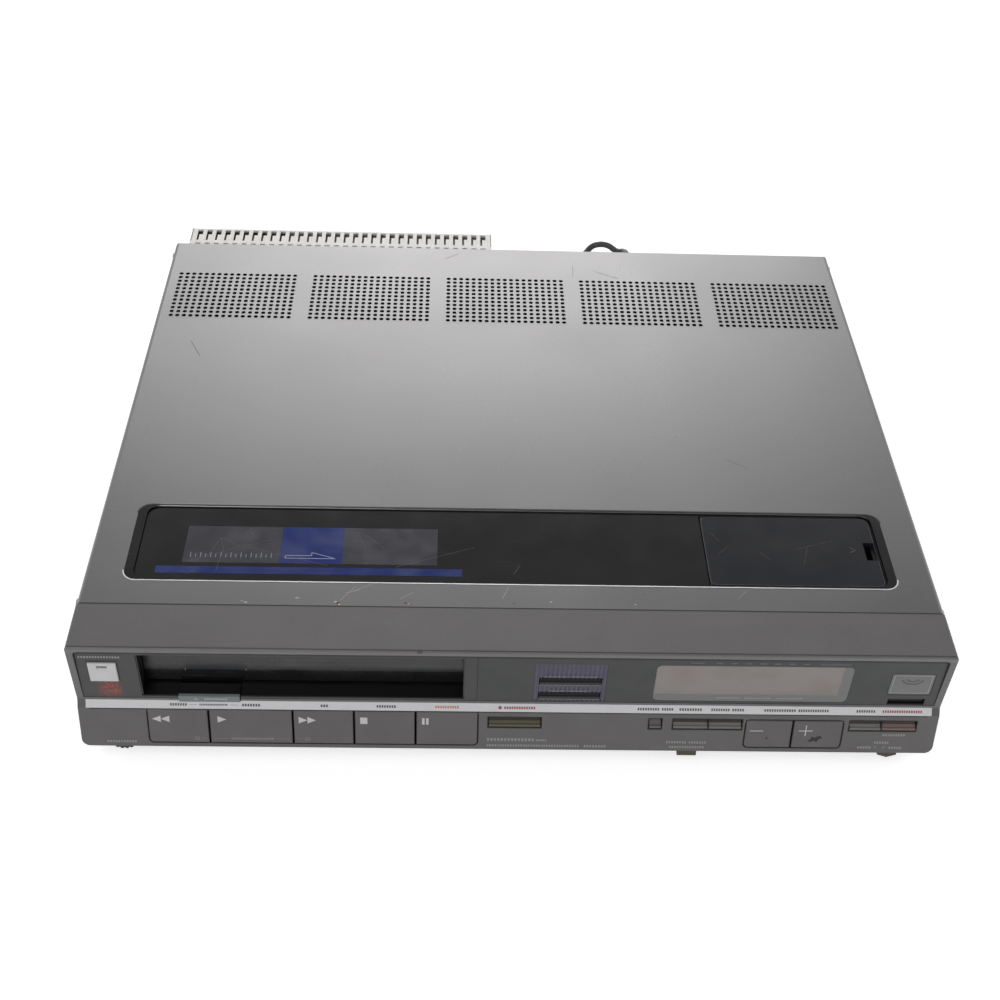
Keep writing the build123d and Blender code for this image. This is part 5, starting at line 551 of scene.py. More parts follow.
def hole_shade():
    """Painted shade: dull black for the dark inside the vent holes."""
    coat = Finish("vent_shade", linear(12, 12, 13), 0.9, Specular_IOR_Level=0.0)
    coat.mottle(coat.noise(3.0), 0.4, 0.7, 0.4, linear(20, 20, 20))
    return coat.done()


def dress(material, *names):
    """Material on the CAD nodes."""
    for name in names:
        data = nodes[name].data
        data.materials.clear()
        data.materials.append(material)


# Surfaces that prints and painted light marks lie on: each turns two directions and a lift into a place
def on_slope(u, v, lift):
    """Place on the sloping lower panel."""
    up_y, up_z = SLOPE_UP
    return Vector((u, SLOPE_ORIGIN[0] + up_y * v - up_z * lift, SLOPE_ORIGIN[1] + up_z * v + up_y * lift))


def on_panel(x, z, lift):
    """Place on the upright upper panels."""
    return Vector((x, PANEL_Y - lift, z))


def on_top(x, y, lift):
    """Place on top of the recorder."""
    return Vector((x, y, TOP_Z + lift))


def on_strip(x, height, lift):
    """Place on the bright strip, at a height along its face from its low edge."""
    low_y, low_z = SLOPE_ORIGIN
    top_y, top_z = STRIP_TOP
    along = Vector((0, top_y - low_y, top_z - low_z)).normalized()
    out = Vector((0, -along.z, along.y))
    return Vector((x, low_y, low_z)) + along * height + out * lift


def front_of(node):
    """Surface over the front of a node."""
    face = corners(node)[0].y
    return lambda x, z, lift: Vector((x, face - lift, z))


def top_of(node):
    """Surface over the top of a node."""
    face = corners(node)[1].z
    return lambda x, y, lift: Vector((x, y, face + lift))


# Flat pieces
SAME_PLACE = 1e-6
MARK_SHARE = 0.6
MARK_GAP_SHARE = 0.32
SMALLEST_RADIUS = 0.05
CORNER_STEPS = 6
BLOT_SIDES = 11
BLOT_WOBBLE = 0.35
BLOT_TWIST = 3.7


def mesh_piece(name, faces, body, material):
    """Mesh object made of faces given by their corners."""
    made = bmesh.new()
    for face in faces:
        made.faces.new([made.verts.new(Vector(corner) * MM) for corner in face])
    bmesh.ops.remove_doubles(made, verts=made.verts, dist=SAME_PLACE)
    data = bpy.data.meshes.new(name)
    made.to_mesh(data)
    made.free()
    data.materials.append(material)
    piece = bpy.data.objects.new(name, data)
    bpy.context.scene.collection.objects.link(piece)
    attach(piece, body)


def decal(name, surface, shapes, material, lift=INK, body="housing"):
    """Thin flat mark on a surface, for prints and painted light, made of outlines in the surface's own two
    directions.
    """
    faces = [[surface(a, b, lift) for a, b in shape] for shape in shapes]
    mesh_piece(name, faces, body, material)


def bar(a0, a1, b0, b1):
    """Rectangle outline."""
    return [(a0, b0), (a1, b0), (a1, b1), (a0, b1)]


def disc(a, b, radius, sides):
    """Round outline."""
    angles = [2 * math.pi * i / sides for i in range(sides)]
    return [(a + radius * math.cos(angle), b + radius * math.sin(angle)) for angle in angles]


def arrowhead(a0, a1, b, half):
    """Triangle that points from its first end to its second."""
    outline = [(a0, b - half), (a1, b), (a0, b + half)]
    return outline if a1 > a0 else outline[::-1]


def marks(start, end, middle, height):
    """Row of plain small bars that stands where a word was."""
    width, gap = height * MARK_SHARE, height * MARK_GAP_SHARE
    count = max(int((end - start + gap) / (width + gap)), 1)
    pitch = (end - start + gap) / count
    starts = [start + pitch * i for i in range(count)]
    return [bar(a, a + pitch - gap, middle - height / 2, middle + height / 2) for a in starts]


def words(rows):
    """Rows of small bars, each with its start, end, middle and height."""
    return [shape for row in rows for shape in marks(*row)]


def rounded(a0, a1, b0, b1, radius):
    """Rectangle outline with round corners."""
    radius = max(radius, SMALLEST_RADIUS)
    low_a, high_a, low_b, high_b = a0 + radius, a1 - radius, b0 + radius, b1 - radius
    points = []
    for a, b, start in ((high_a, low_b, -90), (high_a, high_b, 0), (low_a, high_b, 90), (low_a, low_b, 180)):
        for i in range(CORNER_STEPS + 1):
            angle = math.radians(start + 90 * i / CORNER_STEPS)
            points.append((a + radius * math.cos(angle), b + radius * math.sin(angle)))
    return points


def quads(inner, outer):
    """Four-sided shapes between two outlines of as many points."""
    count = len(inner)
    return [[inner[i], outer[i], outer[(i + 1) % count], inner[(i + 1) % count]] for i in range(count)]


def ring(a0, a1, b0, b1, radius, width):
    """Closed band of a width just outside a rounded rectangle, as four-sided shapes."""
    outer = rounded(a0 - width, a1 + width, b0 - width, b1 + width, radius + width)
    return quads(rounded(a0, a1, b0, b1, radius), outer)


def line(start, end, width):
    """Straight thin line between two points."""
    along = Vector((end[0] - start[0], end[1] - start[1])).normalized() * (width / 2)
    side = (-along.y, along.x)
    return [
        (start[0] - side[0], start[1] - side[1]), (end[0] - side[0], end[1] - side[1]),
        (end[0] + side[0], end[1] + side[1]), (start[0] + side[0], start[1] + side[1]),
    ]


def lines(pairs, width):
    """Straight thin lines, each between the two points of a pair."""
    return [line(start, end, width) for start, end in pairs]


def blot(x, y, long, wide, turn):
    """Ragged spot outline."""
    shape = []
    for i in range(BLOT_SIDES):
        angle = 2 * math.pi * i / BLOT_SIDES
        wobble = 1 + BLOT_WOBBLE * math.sin(BLOT_TWIST * i + turn)
        shape.append((x + long * wobble * math.cos(angle), y + wide * wobble * math.sin(angle)))
    return shape


def centred(index, count, pitch):
    """Place of one of a row of evenly spaced things, from the row's middle."""
    return (index - (count - 1) / 2) * pitch


# Top of the recorder
VENT_GROUPS = 5
VENT_COLUMNS = 19
VENT_PITCH = 4.0
VENT_GROUP_PITCH = 85.0
VENT_ROWS = 12
VENT_ROW_PITCH = 4.15
VENT_FIRST_Y = 88.1
VENT_HOLE_RADIUS = 1.4
VENT_SHADE_RADIUS = 1.35
VENT_PLATE_LIFT = 0.03
VENT_HOLE_DEPTH = 2.2
HOLE_SIDES = 12


def hole_faces(x, y):
    """Faces of one rectangle of perforated sheet, with its round hole's wall."""
    half_x, half_y = VENT_PITCH / 2, VENT_ROW_PITCH / 2
    rim, edge, sink = [], [], []
    for i in range(HOLE_SIDES):
        angle = 2 * math.pi * (i + 0.5) / HOLE_SIDES
        cosine, sine = math.cos(angle), math.sin(angle)
        reach = min(half_x / abs(cosine), half_y / abs(sine))
        hole = (x + VENT_HOLE_RADIUS * cosine, y + VENT_HOLE_RADIUS * sine)
        rim.append(on_top(*hole, VENT_PLATE_LIFT))
        edge.append(on_top(x + reach * cosine, y + reach * sine, VENT_PLATE_LIFT))
        sink.append(on_top(*hole, -VENT_HOLE_DEPTH))
    sides = [(i, (i + 1) % HOLE_SIDES) for i in range(HOLE_SIDES)]
    faces = []
    for i, j in sides:
        faces.append([rim[i], edge[i], edge[j], rim[j]])
        faces.append([sink[i], rim[i], rim[j], sink[j]])
    for i, j in sides:
        across, along = edge[i].x - edge[j].x, edge[i].y - edge[j].y
        if abs(across) > SAME_PLACE and abs(along) > SAME_PLACE:
            corner_x = x + math.copysign(half_x, edge[i].x + edge[j].x - 2 * x)
            corner_y = y + math.copysign(half_y, edge[i].y + edge[j].y - 2 * y)
            faces.append([edge[i], on_top(corner_x, corner_y, VENT_PLATE_LIFT), edge[j]])
    return faces


def vent_fields(material):
    """Five fields of round holes over the cover's slots, with painted shade discs in the holes of the first
    and last rows, which lie past a slot's end.
    """
    # Painted shade inside the holes
    dark = hole_shade()
    rows = [VENT_FIRST_Y + row * VENT_ROW_PITCH for row in range(VENT_ROWS)]
    for group in range(VENT_GROUPS):
        middle = centred(group, VENT_GROUPS, VENT_GROUP_PITCH)
        columns = [middle + centred(column, VENT_COLUMNS, VENT_PITCH) for column in range(VENT_COLUMNS)]
        faces = [face for x in columns for y in rows for face in hole_faces(x, y)]
        mesh_piece(f"vent_field_{group + 1}", faces, "housing", material)
        shade_discs = [disc(x, y, VENT_SHADE_RADIUS, HOLE_SIDES) for x in columns for y in (rows[0], rows[-1])]
        decal(f"vent_end_shades_{group + 1}", on_top, shade_discs, dark, VENT_PLATE_LIFT / 2)


RECESS_X = (-195.6, 195.6)
RECESS_Y = (-138.8, -83.7)
RECESS_CORNER = 6.5
GLASS_EDGE_X = (-190.9, 190.9)
GLASS_EDGE_Y = (-138.4, -84.1)
FRONT_EDGE_Y = -131.5
BACK_EDGE_Y = -95.0
WINDOW_Y = (-125.3, -98.6)
WINDOW_X = (-168.0, -39.0)
BLOCK_X = (-119.3, -87.4)
STRIPE_X = (-180.5, -26.3)
STRIPE_Y = (-133.0, -127.9)
WINDOW_ARROW = ((-116.3, -121.5), (-90.8, -121.5), (-103.0, -117.2), (-103.0, -119.5), (-116.3, -119.5))
TICK_COUNT = 17
TICK_FIRST_X = -164.3
TICK_PITCH = 2.55
TICK_FOOT_Y = -121.4
TICK_TOPS_Y = (-118.0, -119.0)
SCRATCHES = (
    ((-150.4, -106.9), (-155.8, -121.5)), ((-150.4, -106.9), (-148.2, -116.0)),
    ((-150.0, -106.8), (-139.5, -113.6)), ((-139.5, -113.4), (-120.0, -106.6)),
    ((-166.0, -125.2), (-136.5, -112.0)), ((-148.0, -113.5), (-150.2, -131.0)),
    ((-137.5, -113.2), (-94.5, -126.5)), ((-80.5, -101.5), (-75.8, -113.0)),
    ((-77.0, -103.0), (-66.5, -113.2)), ((-139.0, -103.8), (-135.0, -99.5)),
    ((-60.0, -127.0), (-20.0, -112.0)), ((0.0, -131.0), (3.5, -124.0)),
)
LID_SCRATCHES = (
    ((104.5, -98.5), (108.0, -104.5)), ((106.5, -114.0), (112.5, -108.0)), ((150.0, -121.0), (154.0, -108.0)),
    ((147.0, -110.0), (168.0, -103.0)), ((128.0, -112.0), (133.0, -118.0)),
)
LID_ARROW = (((175.4, -111.6), (178.8, -110.3)), ((178.8, -110.3), (176.2, -107.8)))
LID_EDGE = 0.5
LID_HIGHLIGHT_INSET = 2.6


def top_prints():
    """Prints on the glazing: grey window, blue block and stripe, arrow, tick scale; and the lid's scratches
    and arrow, with a painted highlight line along the lid's edges.
    """
    grey = window_ink("window_grey_ink", 58, 58, 66)
    blue = window_ink("window_blue_ink", 20, 42, 112)
    pale = print_and_painted_light_ink("window_line_ink", 160, 166, 190)
    worn = print_and_painted_light_ink("scratch_ink", 92, 92, 98)
    lid_scratch_and_highlight_ink = print_and_painted_light_ink("lid_scratch_and_highlight_ink", 84, 84, 88)
    window, lid = top_of("top_window"), top_of("preset_lid")
    fields = [bar(WINDOW_X[0], BLOCK_X[0], *WINDOW_Y), bar(BLOCK_X[1], WINDOW_X[1], *WINDOW_Y)]
    decal("window_grey_print", window, fields, grey)
    blues = [bar(*BLOCK_X, *WINDOW_Y), bar(*STRIPE_X, *STRIPE_Y)]
    decal("window_blue_print", window, blues, blue)
    outline = lines(zip(WINDOW_ARROW, WINDOW_ARROW[1:] + WINDOW_ARROW[:1]), 0.4)
    ticks = []
    for i in range(TICK_COUNT):
        x = TICK_FIRST_X + i * TICK_PITCH
        ticks.append(line((x, TICK_FOOT_Y), (x, TICK_TOPS_Y[i % 2]), 0.28))
    decal("window_line_print", window, outline + ticks, pale, LINE_INK)
    decal("window_scratches", window, lines(SCRATCHES, 0.16), worn, SCRATCH_INK)
    low, high = corners("preset_lid")
    lid_marks_and_highlight = lines(LID_SCRATCHES, 0.14) + lines(LID_ARROW, 0.4)
    # Painted highlight: a light line along the lid's edges
    lid_marks_and_highlight += ring(low.x + LID_EDGE, high.x - LID_EDGE, RECESS_Y[0] + LID_HIGHLIGHT_INSET,
                      RECESS_Y[1] - LID_HIGHLIGHT_INSET, 4.0, 0.2)
    decal("lid_marks_and_highlight", lid, lid_marks_and_highlight, lid_scratch_and_highlight_ink, body="preset_lid")


def recess_edge():
    """Glass carried on to the recess's full width, with a painted highlight line before it and a painted
    shadow line behind.
    """
    outer = rounded(*RECESS_X, *RECESS_Y, RECESS_CORNER)
    inner = rounded(*GLASS_EDGE_X, *GLASS_EDGE_Y, RECESS_CORNER)
    rim = glazing("rim_plastic", linear(24, 24, 26))
    decal("glass_rim", on_top, quads(inner, outer), rim)
    # Painted highlight: a bright metal line along the rounded front edge
    bright = bare_metal("edge_highlight", linear(236, 236, 236), 0.35)
    band = ring(*RECESS_X, *RECESS_Y, RECESS_CORNER, 0.7)
    front = [shape for shape in band if max(b for _, b in shape) < FRONT_EDGE_Y]
    back = [shape for shape in band if min(b for _, b in shape) > BACK_EDGE_Y]
    decal("recess_front_highlight", on_top, front, bright, OVER_INK)
    # Painted shadow along the back edge
    decal("recess_back_shadow", on_top, back, print_and_painted_light_ink("edge_shadow", 58, 57, 58), OVER_INK)


SEAM = (-213.5, 213.5, -155.9, -155.2)
# Spots: place, half sizes
PALE_SPOTS = (
    (-134.5, -152.8, 0.5, 0.3), (-132.6, -153.6, 0.9, 0.4), (-107.6, -150.2, 1.1, 0.4),
    (-88.6, -152.6, 0.8, 0.5), (-86.6, -154.3, 0.6, 0.5), (-52.4, -153.4, 0.4, 0.3),
    (18.0, -150.9, 0.7, 0.3), (60.0, -152.0, 0.6, 0.3),
)
RED_SPOTS = (
    (-87.4, -153.4, 1.1, 0.9), (-54.0, -152.9, 0.8, 0.6), (-51.2, -153.6, 0.4, 0.3), (-0.5, -152.2, 0.5, 0.4),
)
RED_TURN = 3
COVER_SCRATCHES = (
    ((-86.5, -151.6), (-79.4, -142.2)), ((-84.0, -146.5), (-76.8, -144.0)),
    ((-80.0, -145.0), (-71.0, -139.9)), ((-57.0, -150.0), (-50.5, -145.5)),
    ((-6.0, -149.0), (-3.0, -141.0)), ((112.0, -147.0), (117.0, -141.5)),
)
WIDE_SCORE = ((-190.0, 62.0), (-182.5, 47.0))
SCORES = (
    ((-38.5, 157.0), (-30.0, 163.5)), ((58.0, 146.0), (73.0, 138.0)), ((44.0, 139.0), (44.5, 152.0)),
    ((-148.0, 98.0), (-141.0, 90.0)), ((120.0, -40.0), (131.0, -47.0)),
)


def paint_chips():
    """Wear of the cover: chips down to metal and primer by its front seam, and scores over its top."""
    chip = bare_metal("chip_metal", linear(205, 200, 198), 0.4)
    score = print_and_painted_light_ink("score_ink", 86, 85, 87)
    pale = [blot(*spot, turn) for turn, spot in enumerate(PALE_SPOTS)] + lines(COVER_SCRATCHES, 0.14)
    red = [blot(*spot, turn) for turn, spot in enumerate(RED_SPOTS, RED_TURN)]
    decal("seam_line", on_top, [bar(*SEAM)], print_and_painted_light_ink("seam_shadow", 22, 21, 21))
    decal("cover_scores", on_top, [line(*WIDE_SCORE, 0.3)] + lines(SCORES, 0.25), score)
    decal("primer_spots", on_top, red, print_and_painted_light_ink("primer_red", 104, 60, 54))
    decal("paint_chips", on_top, pale, chip, OVER_INK)


# Front
BUTTON_GAP = 0.4
STRIP_FOOT_V = -0.12
STRIP_SHADOW = (-209.0, 209.0, -0.6, STRIP_FOOT_V)
POWER_FRAME = (-206.1, -192.5, 54.8, 67.5)
# Painted highlight: light lines along the lips under the counter keys
COUNTER_SILL_HIGHLIGHTS = ((12.9, 42.4, 54.2, 54.8), (12.9, 42.4, 43.6, 44.2))


def button_gap_shade(sides, row, radius, width):
    """Painted shade: closed band around a button or a group of them, kept below the bright strip."""
    gap = BUTTON_GAP
    band = ring(sides[0] - gap, sides[1] + gap, row[0] - gap, row[1] + gap, radius, width)
    return [[(a, min(b, STRIP_FOOT_V)) for a, b in shape] for shape in band]


def button_gap_shades():
    """Painted shade, black, in the gaps around the buttons and under the strip, and a painted highlight, a
    light line, under the counter keys.
    """
    # Painted shade in the gaps and the painted shadow of the strip
    black = print_and_painted_light_ink("fit_gap_shade", 20, 20, 21)
    light = print_and_painted_light_ink("sill_highlight", 128, 125, 120)
    frames = button_gap_shade(KEY_GROUP, KEY_V, 2.5, 0.3) + button_gap_shade(ROCKER_GROUP, ROCKER_V, 2.5, 0.4)
    for sides in SMALL_BUTTONS:
        frames += button_gap_shade(sides, SMALL_V, 0, 0.45)
    decal("button_gap_shades", on_slope, [*frames, bar(*STRIP_SHADOW)], black)
    decal("power_gap_shade", on_panel, ring(*POWER_FRAME, 0.6, 0.5), black)
    decal("counter_sill_highlights", on_panel, [bar(*sill) for sill in COUNTER_SILL_HIGHLIGHTS], light)


SYMBOL_V = (-8.2, -4.2)
SYMBOL_MIDDLE = (SYMBOL_V[0] + SYMBOL_V[1]) / 2
SYMBOL_HALF = (SYMBOL_V[1] - SYMBOL_V[0]) / 2
SEARCH_V = -18.0
SEARCH_HALF = 0.1


def lens_mark(a, b):
    """Small ring with a bar across it."""
    return ring(a - 1.0, a + 1.0, b - 0.8, b + 0.8, 0.7, 0.25) + [bar(a - 0.9, a + 0.9, b - 0.12, b + 0.12)]


def transport_symbols():
    """Generic signs on the large keys and the channel keys, and the thin line along three of the keys."""

    def arrow(tail, tip):
        return arrowhead(tail, tip, SYMBOL_MIDDLE, SYMBOL_HALF)

    def thin(start, end):
        return bar(start, end, SEARCH_V - SEARCH_HALF, SEARCH_V + SEARCH_HALF)

    bright = print_and_painted_light_ink("symbol_ink", 222, 222, 222, worn=0.2)
    faint = print_and_painted_light_ink("search_ink", 150, 150, 150)
    signs = {
        "rewind_button": [arrow(-174.7, -179.0), arrow(-170.4, -174.7)],
        "play_button": [arrow(-146.7, -142.3)],
        "fast_forward_button": [arrow(-106.5, -102.2), arrow(-102.2, -97.9)],
        "stop_button": [bar(-76.0, -72.4, *SYMBOL_V)],
        "pause_button": [bar(-45.2, -43.9, *SYMBOL_V), bar(-43.2, -41.9, *SYMBOL_V)],
        "program_down_button": [bar(120.0, 126.8, -10.4, -9.9)],
        "program_up_button": [bar(144.9, 151.9, -10.1, -9.6), bar(148.15, 148.65, -13.1, -6.5)],
    }
    searches = {
        "rewind_button": [thin(-155.0, -152.2)] + lens_mark(-157.4, SEARCH_V),
        "play_button": [thin(-148.8, -141.6), thin(-118.4, -111.2)] + marks(-140.4, -119.4, SEARCH_V, 1.2),
        "fast_forward_button": [thin(-107.0, -104.8)] + lens_mark(-102.4, SEARCH_V),
    }
    for prefix, shapes, ink in (("symbol_", signs, bright), ("search_", searches, faint)):
        for name, outlines in shapes.items():
            decal(prefix + name, on_slope, outlines, ink, lift=KEY_INK, body=name)


# Rows of marks: start, end, middle and height of each
POWER_WORD = (-210.0, -190.2, 71.3, 1.4)
DAY_WORDS = tuple((98.0 + i * 7.1, 101.0 + i * 7.1, 71.9, 0.9) for i in range(7))
DISPLAY_WORDS = (*DAY_WORDS, (85.6, 91.8, 71.9, 1.0), (149.2, 164.0, 71.9, 1.0))
PANE_WORDS = ((101.0, 112.6, 46.0, 0.9), (115.4, 128.4, 46.0, 0.9), (131.2, 144.4, 46.0, 0.9))
LOWER_WORDS = (
    (-202.4, -187.8, -20.6, 1.4), (-12.5, 11.2, -17.3, 1.8), (12.2, 17.4, -17.6, 1.2),
    (-12.5, 34.0, -21.0, 1.4), (36.6, 47.6, -21.0, 1.4), (78.2, 88.4, -18.0, 1.4),
    (89.8, 98.4, -18.0, 1.4), (80.0, 97.6, -21.0, 1.4), (188.0, 199.4, -12.2, 1.4),
    (184.4, 191.8, -17.0, 1.4), (176.2, 183.0, -20.2, 1.4), (192.2, 198.8, -20.2, 1.4),
)
TONE_WEDGES = [
    [(184.6, -19.6), (185.8, -19.6), (185.8, -21.0)],
    [(189.2, -19.6), (190.4, -19.6), (189.2, -21.0)],
]
COUNTER_WORDS = (
    (14.8, 25.4, 60.7, 1.1), (27.0, 40.4, 60.7, 1.1), (17.4, 25.6, 50.1, 1.1), (27.2, 36.8, 50.1, 1.1),
)
TAB_WORD = (-152.4, -141.2, 42.6, 1.3)
TAB_SIGN = [[(-157.6, 42.3), (-155.4, 42.3), (-156.5, 43.4)], bar(-157.6, -155.4, 41.8, 42.05)]
DOOR_WORD = (-119.6, -90.6, 60.0, 0.8)
DOOR_TICKS = [bar(-162.4, -162.0, 51.6, 53.0), bar(-132.6, -132.2, 51.6, 53.0)]

# Start and end of each word on the bright strip, whose marks are STRIP_SIZE high about STRIP_LEVEL
STRIP_LEVEL = 2.1
STRIP_SIZE = 1.3
STRIP_PLACES = (
    (-169.6, -161.4), (-134.2, -125.4), (-95.4, -91.9), (-67.7, -58.3), (62.4, 73.2), (74.6, 80.2),
    (83.4, 94.6), (99.4, 108.6), (110.0, 115.8), (126.2, 142.0), (143.4, 158.6), (172.8, 182.2),
)
STRIP_LINES = [bar(-160.4, -156.4, 2.0, 2.15), bar(-140.2, -136.0, 2.0, 2.15)]
STRIP_SMALL_WORD = (-155.2, -141.4, STRIP_LEVEL, 0.9)
RECORD_PLACES = ((-4.3, 11.1), (186.0, 206.0))
RECORD_DOT = (-6.4, STRIP_LEVEL, 0.85, 16)
PAUSE_PLACES = ((-38.6, -27.0),)
SMUDGES = ((153.6, -15.0, 2.4, 1.6, 0), (155.8, -13.9, 1.2, 1.0, 2), (151.4, -16.0, 1.1, 0.7, 4))
WORN_DOT = (129.0, -14.6, 0.6, 10)
POWER_SLIT = (-201.8, -196.8, 65.2, 66.0)


def strip_words(places):
    """Rows of marks on the bright strip."""
    return words([(start, end, STRIP_LEVEL, STRIP_SIZE) for start, end in places])


def front_marks():
    """Rows of small bars where the labels were, on the panels, the strip, the tab and under the keys."""
    pale = print_and_painted_light_ink("label_ink", 158, 158, 158)
    dark = print_and_painted_light_ink("strip_ink", 96, 96, 99)
    red = print_and_painted_light_ink("red_ink", 178, 84, 92)
    orange = print_and_painted_light_ink("orange_ink", 214, 142, 112)
    pane_ink = print_and_painted_light_ink("pane_ink", 168, 166, 164)
    tab_ink = print_and_painted_light_ink("tab_ink", 188, 192, 194)
    decal("label_power", on_panel, marks(*POWER_WORD), pale)
    decal("label_display", on_panel, words(DISPLAY_WORDS), print_and_painted_light_ink("faint_ink", 112, 112, 112))
    decal("label_pane", front_of("display_window"), words(PANE_WORDS), pane_ink)
    decal("label_lower", on_slope, words(LOWER_WORDS) + TONE_WEDGES, pale)
    strip = strip_words(STRIP_PLACES) + STRIP_LINES + marks(*STRIP_SMALL_WORD)
    decal("label_strip", on_strip, strip, dark)
    decal("label_record", on_strip, [*strip_words(RECORD_PLACES), disc(*RECORD_DOT)], red)
    decal("label_pause", on_strip, strip_words(PAUSE_PLACES), orange)
    decal("label_tab", front_of("eject_button"), marks(*TAB_WORD) + TAB_SIGN, tab_ink, body="eject_button")
    decal("label_counter", on_panel, words(COUNTER_WORDS), print_and_painted_light_ink("counter_ink", 130, 128, 140))


def key_marks():
    """Finger wear on the channel keys, and painted shade in the slit of the power button."""
    wear = print_and_painted_light_ink("key_wear", 40, 38, 36)
    smudges = [blot(*smudge) for smudge in SMUDGES]
    decal("smudge_program_up", on_slope, smudges, wear, lift=KEY_INK, body="program_up_button")
    decal("dot_program_down", on_slope, [disc(*WORN_DOT)], wear, lift=KEY_INK, body="program_down_button")
    # Painted shade: black in the slit
    slit_shade_ink = print_and_painted_light_ink("slit_shade_black", 24, 20, 26)
    decal("power_slit_shade", front_of("power_button"), [bar(*POWER_SLIT)], slit_shade_ink, body="power_button")


OUTLINE_INSET = 1.4
LENS_RADII = (2.6, 5.0)
LENS_BAND = 0.8
LENS_FLATNESS = 0.8
LENS_STEPS = 16
LENS_START = 1.08 * math.pi
LENS_SWEEP = 0.84 * math.pi
LENS_DROP = 3.2


def sensor_rings():
    """Painted shade in the gap around the sensor pane, and the light outline and curved lens seen in it."""
    low, high = corners("remote_window")
    # Painted shade, black, in the gap around the pane
    black = print_and_painted_light_ink("sensor_gap_shade", 30, 32, 31)
    pane = front_of("remote_window")
    inset = OUTLINE_INSET
    outline = ring(low.x + inset, high.x - inset, low.z + inset, high.z - inset, 0.5, 0.4)
    decal("sensor_gap_shade", on_panel, ring(low.x, high.x, low.z, high.z, 0.6, 0.5), black)
    decal("sensor_outline", pane, outline, print_and_painted_light_ink("sensor_line", 172, 176, 172))
    x, z = (low.x + high.x) / 2, high.z - LENS_DROP
    angles = [LENS_START + LENS_SWEEP * i / LENS_STEPS for i in range(LENS_STEPS + 1)]
    arcs = []
    for radius in LENS_RADII:
        near, far = radius, radius + LENS_BAND
        for first, second in zip(angles, angles[1:]):
            arcs.append([(x + reach * math.cos(angle), z + reach * LENS_FLATNESS * math.sin(angle))
                         for angle, reach in ((first, near), (second, near), (second, far), (first, far))])
    decal("sensor_lens", pane, arcs, print_and_painted_light_ink("sensor_shadow", 78, 82, 78))


def door_marks():
    """Small pale ticks and a faint row of marks on the cassette door."""
    door = front_of("cassette_door")
    tick_ink = print_and_painted_light_ink("tick_ink", 150, 152, 152)
    door_ink = print_and_painted_light_ink("door_ink", 104, 104, 106)
    decal("door_ticks", door, DOOR_TICKS, tick_ink, body="cassette_door")
    decal("door_print", door, marks(*DOOR_WORD), door_ink, body="cassette_door")


# Cage
CAGE_SLOTS = 32
CAGE_SLOT_PITCH = 6.05
CAGE_SLOT_FIRST = -201.3
CAGE_SLOT_NEAR = 176.2
CAGE_SLOT_WIDTH = 3.5
TAB_LEFT_SHARE = 0.12
TAB_LENGTH = 7.4
TAB_DEPTH = 0.35
TAB_THICK = 0.8
SHADE_Y = (174.5, 189.8)
SHADE_DEPTH = 2.6
# Painted shade inside the cage: dark sheets under the slots, darkest under the first ones
CAGE_SHADES = ((-205.5, -146.0, (46, 43, 36)), (-146.0, -9.5, (112, 108, 96)))
CAGE_END_SHADE_LINES = ((-206.4, 0.5), (-8.6, 0.4))
CAGE_END_Y = (175.0, 190.4)
CAGE_NOTCH_HALF = 1.1
CAGE_NOTCH_Y = (171.3, 172.4)


def cage_tabs(material):
    """Lanced tabs in the near right part of the cage's slots, the painted shade under them, and painted shade
    lines at the cage's ends and in its small notches.
    """
    top = corners("rear_cage")[1].z
    slots = [CAGE_SLOT_FIRST + i * CAGE_SLOT_PITCH for i in range(CAGE_SLOTS)]
    near, far = CAGE_SLOT_NEAR, CAGE_SLOT_NEAR + TAB_LENGTH
    high = top - TAB_DEPTH
    low = high - TAB_THICK
    faces = []
    for x in slots:
        left, right = x - CAGE_SLOT_WIDTH * TAB_LEFT_SHARE, x + CAGE_SLOT_WIDTH / 2
        faces.append([(left, near, high), (right, near, high), (right, far, high), (left, far, high)])
        faces.append([(left, near, high), (left, far, high), (left, far, low), (left, near, low)])
        faces.append([(left, far, high), (right, far, high), (right, far, low), (left, far, low)])
    mesh_piece("cage_tabs", faces, "housing", material)
    cage = top_of("rear_cage")
    for number, (start, end, colour) in enumerate(CAGE_SHADES, 1):
        ink = print_and_painted_light_ink(f"cage_shade_{number}", *colour)
        decal(f"cage_shade_{number}", cage, [bar(start, end, *SHADE_Y)], ink, -SHADE_DEPTH)
    # Painted shade: dark lines at the cage's ends and in its small notches
    ends = [line((x, CAGE_END_Y[0]), (x, CAGE_END_Y[1]), width) for x, width in CAGE_END_SHADE_LINES]
    ends += [bar(x - CAGE_NOTCH_HALF, x + CAGE_NOTCH_HALF, *CAGE_NOTCH_Y) for x in slots]
    decal("cage_end_shades", cage, ends, print_and_painted_light_ink("cage_gap_shade", 92, 89, 80))


# Surroundings
WHITE = (1.0, 1.0, 1.0, 1.0)
FLOOR_GREY = (0.84, 0.84, 0.84, 1.0)
FLOOR_SIZE = 30.0
FLOOR_GLOW = 0.62
EVEN_LIGHT = 0.275
BACKDROP_LIGHT = 3.75


def make_floor():
    """Plain pale floor that shows white to the camera and keeps the shadow."""
    bpy.ops.mesh.primitive_plane_add(size=FLOOR_SIZE)
    floor = bpy.context.object
    floor.name = "studio_floor"
    coat = Finish("studio_floor", FLOOR_GREY, 0.9, Specular_IOR_Level=0.0, Emission_Color=WHITE)
    rays = coat.node("LightPath").outputs
    seen = coat.math("MAXIMUM", rays["Is Camera Ray"], rays["Is Glossy Ray"])
    glow = coat.math("MULTIPLY", seen, FLOOR_GLOW)
    coat.tree.links.new(glow, coat.shader.inputs["Emission Strength"])
    floor.data.materials.append(coat.done())


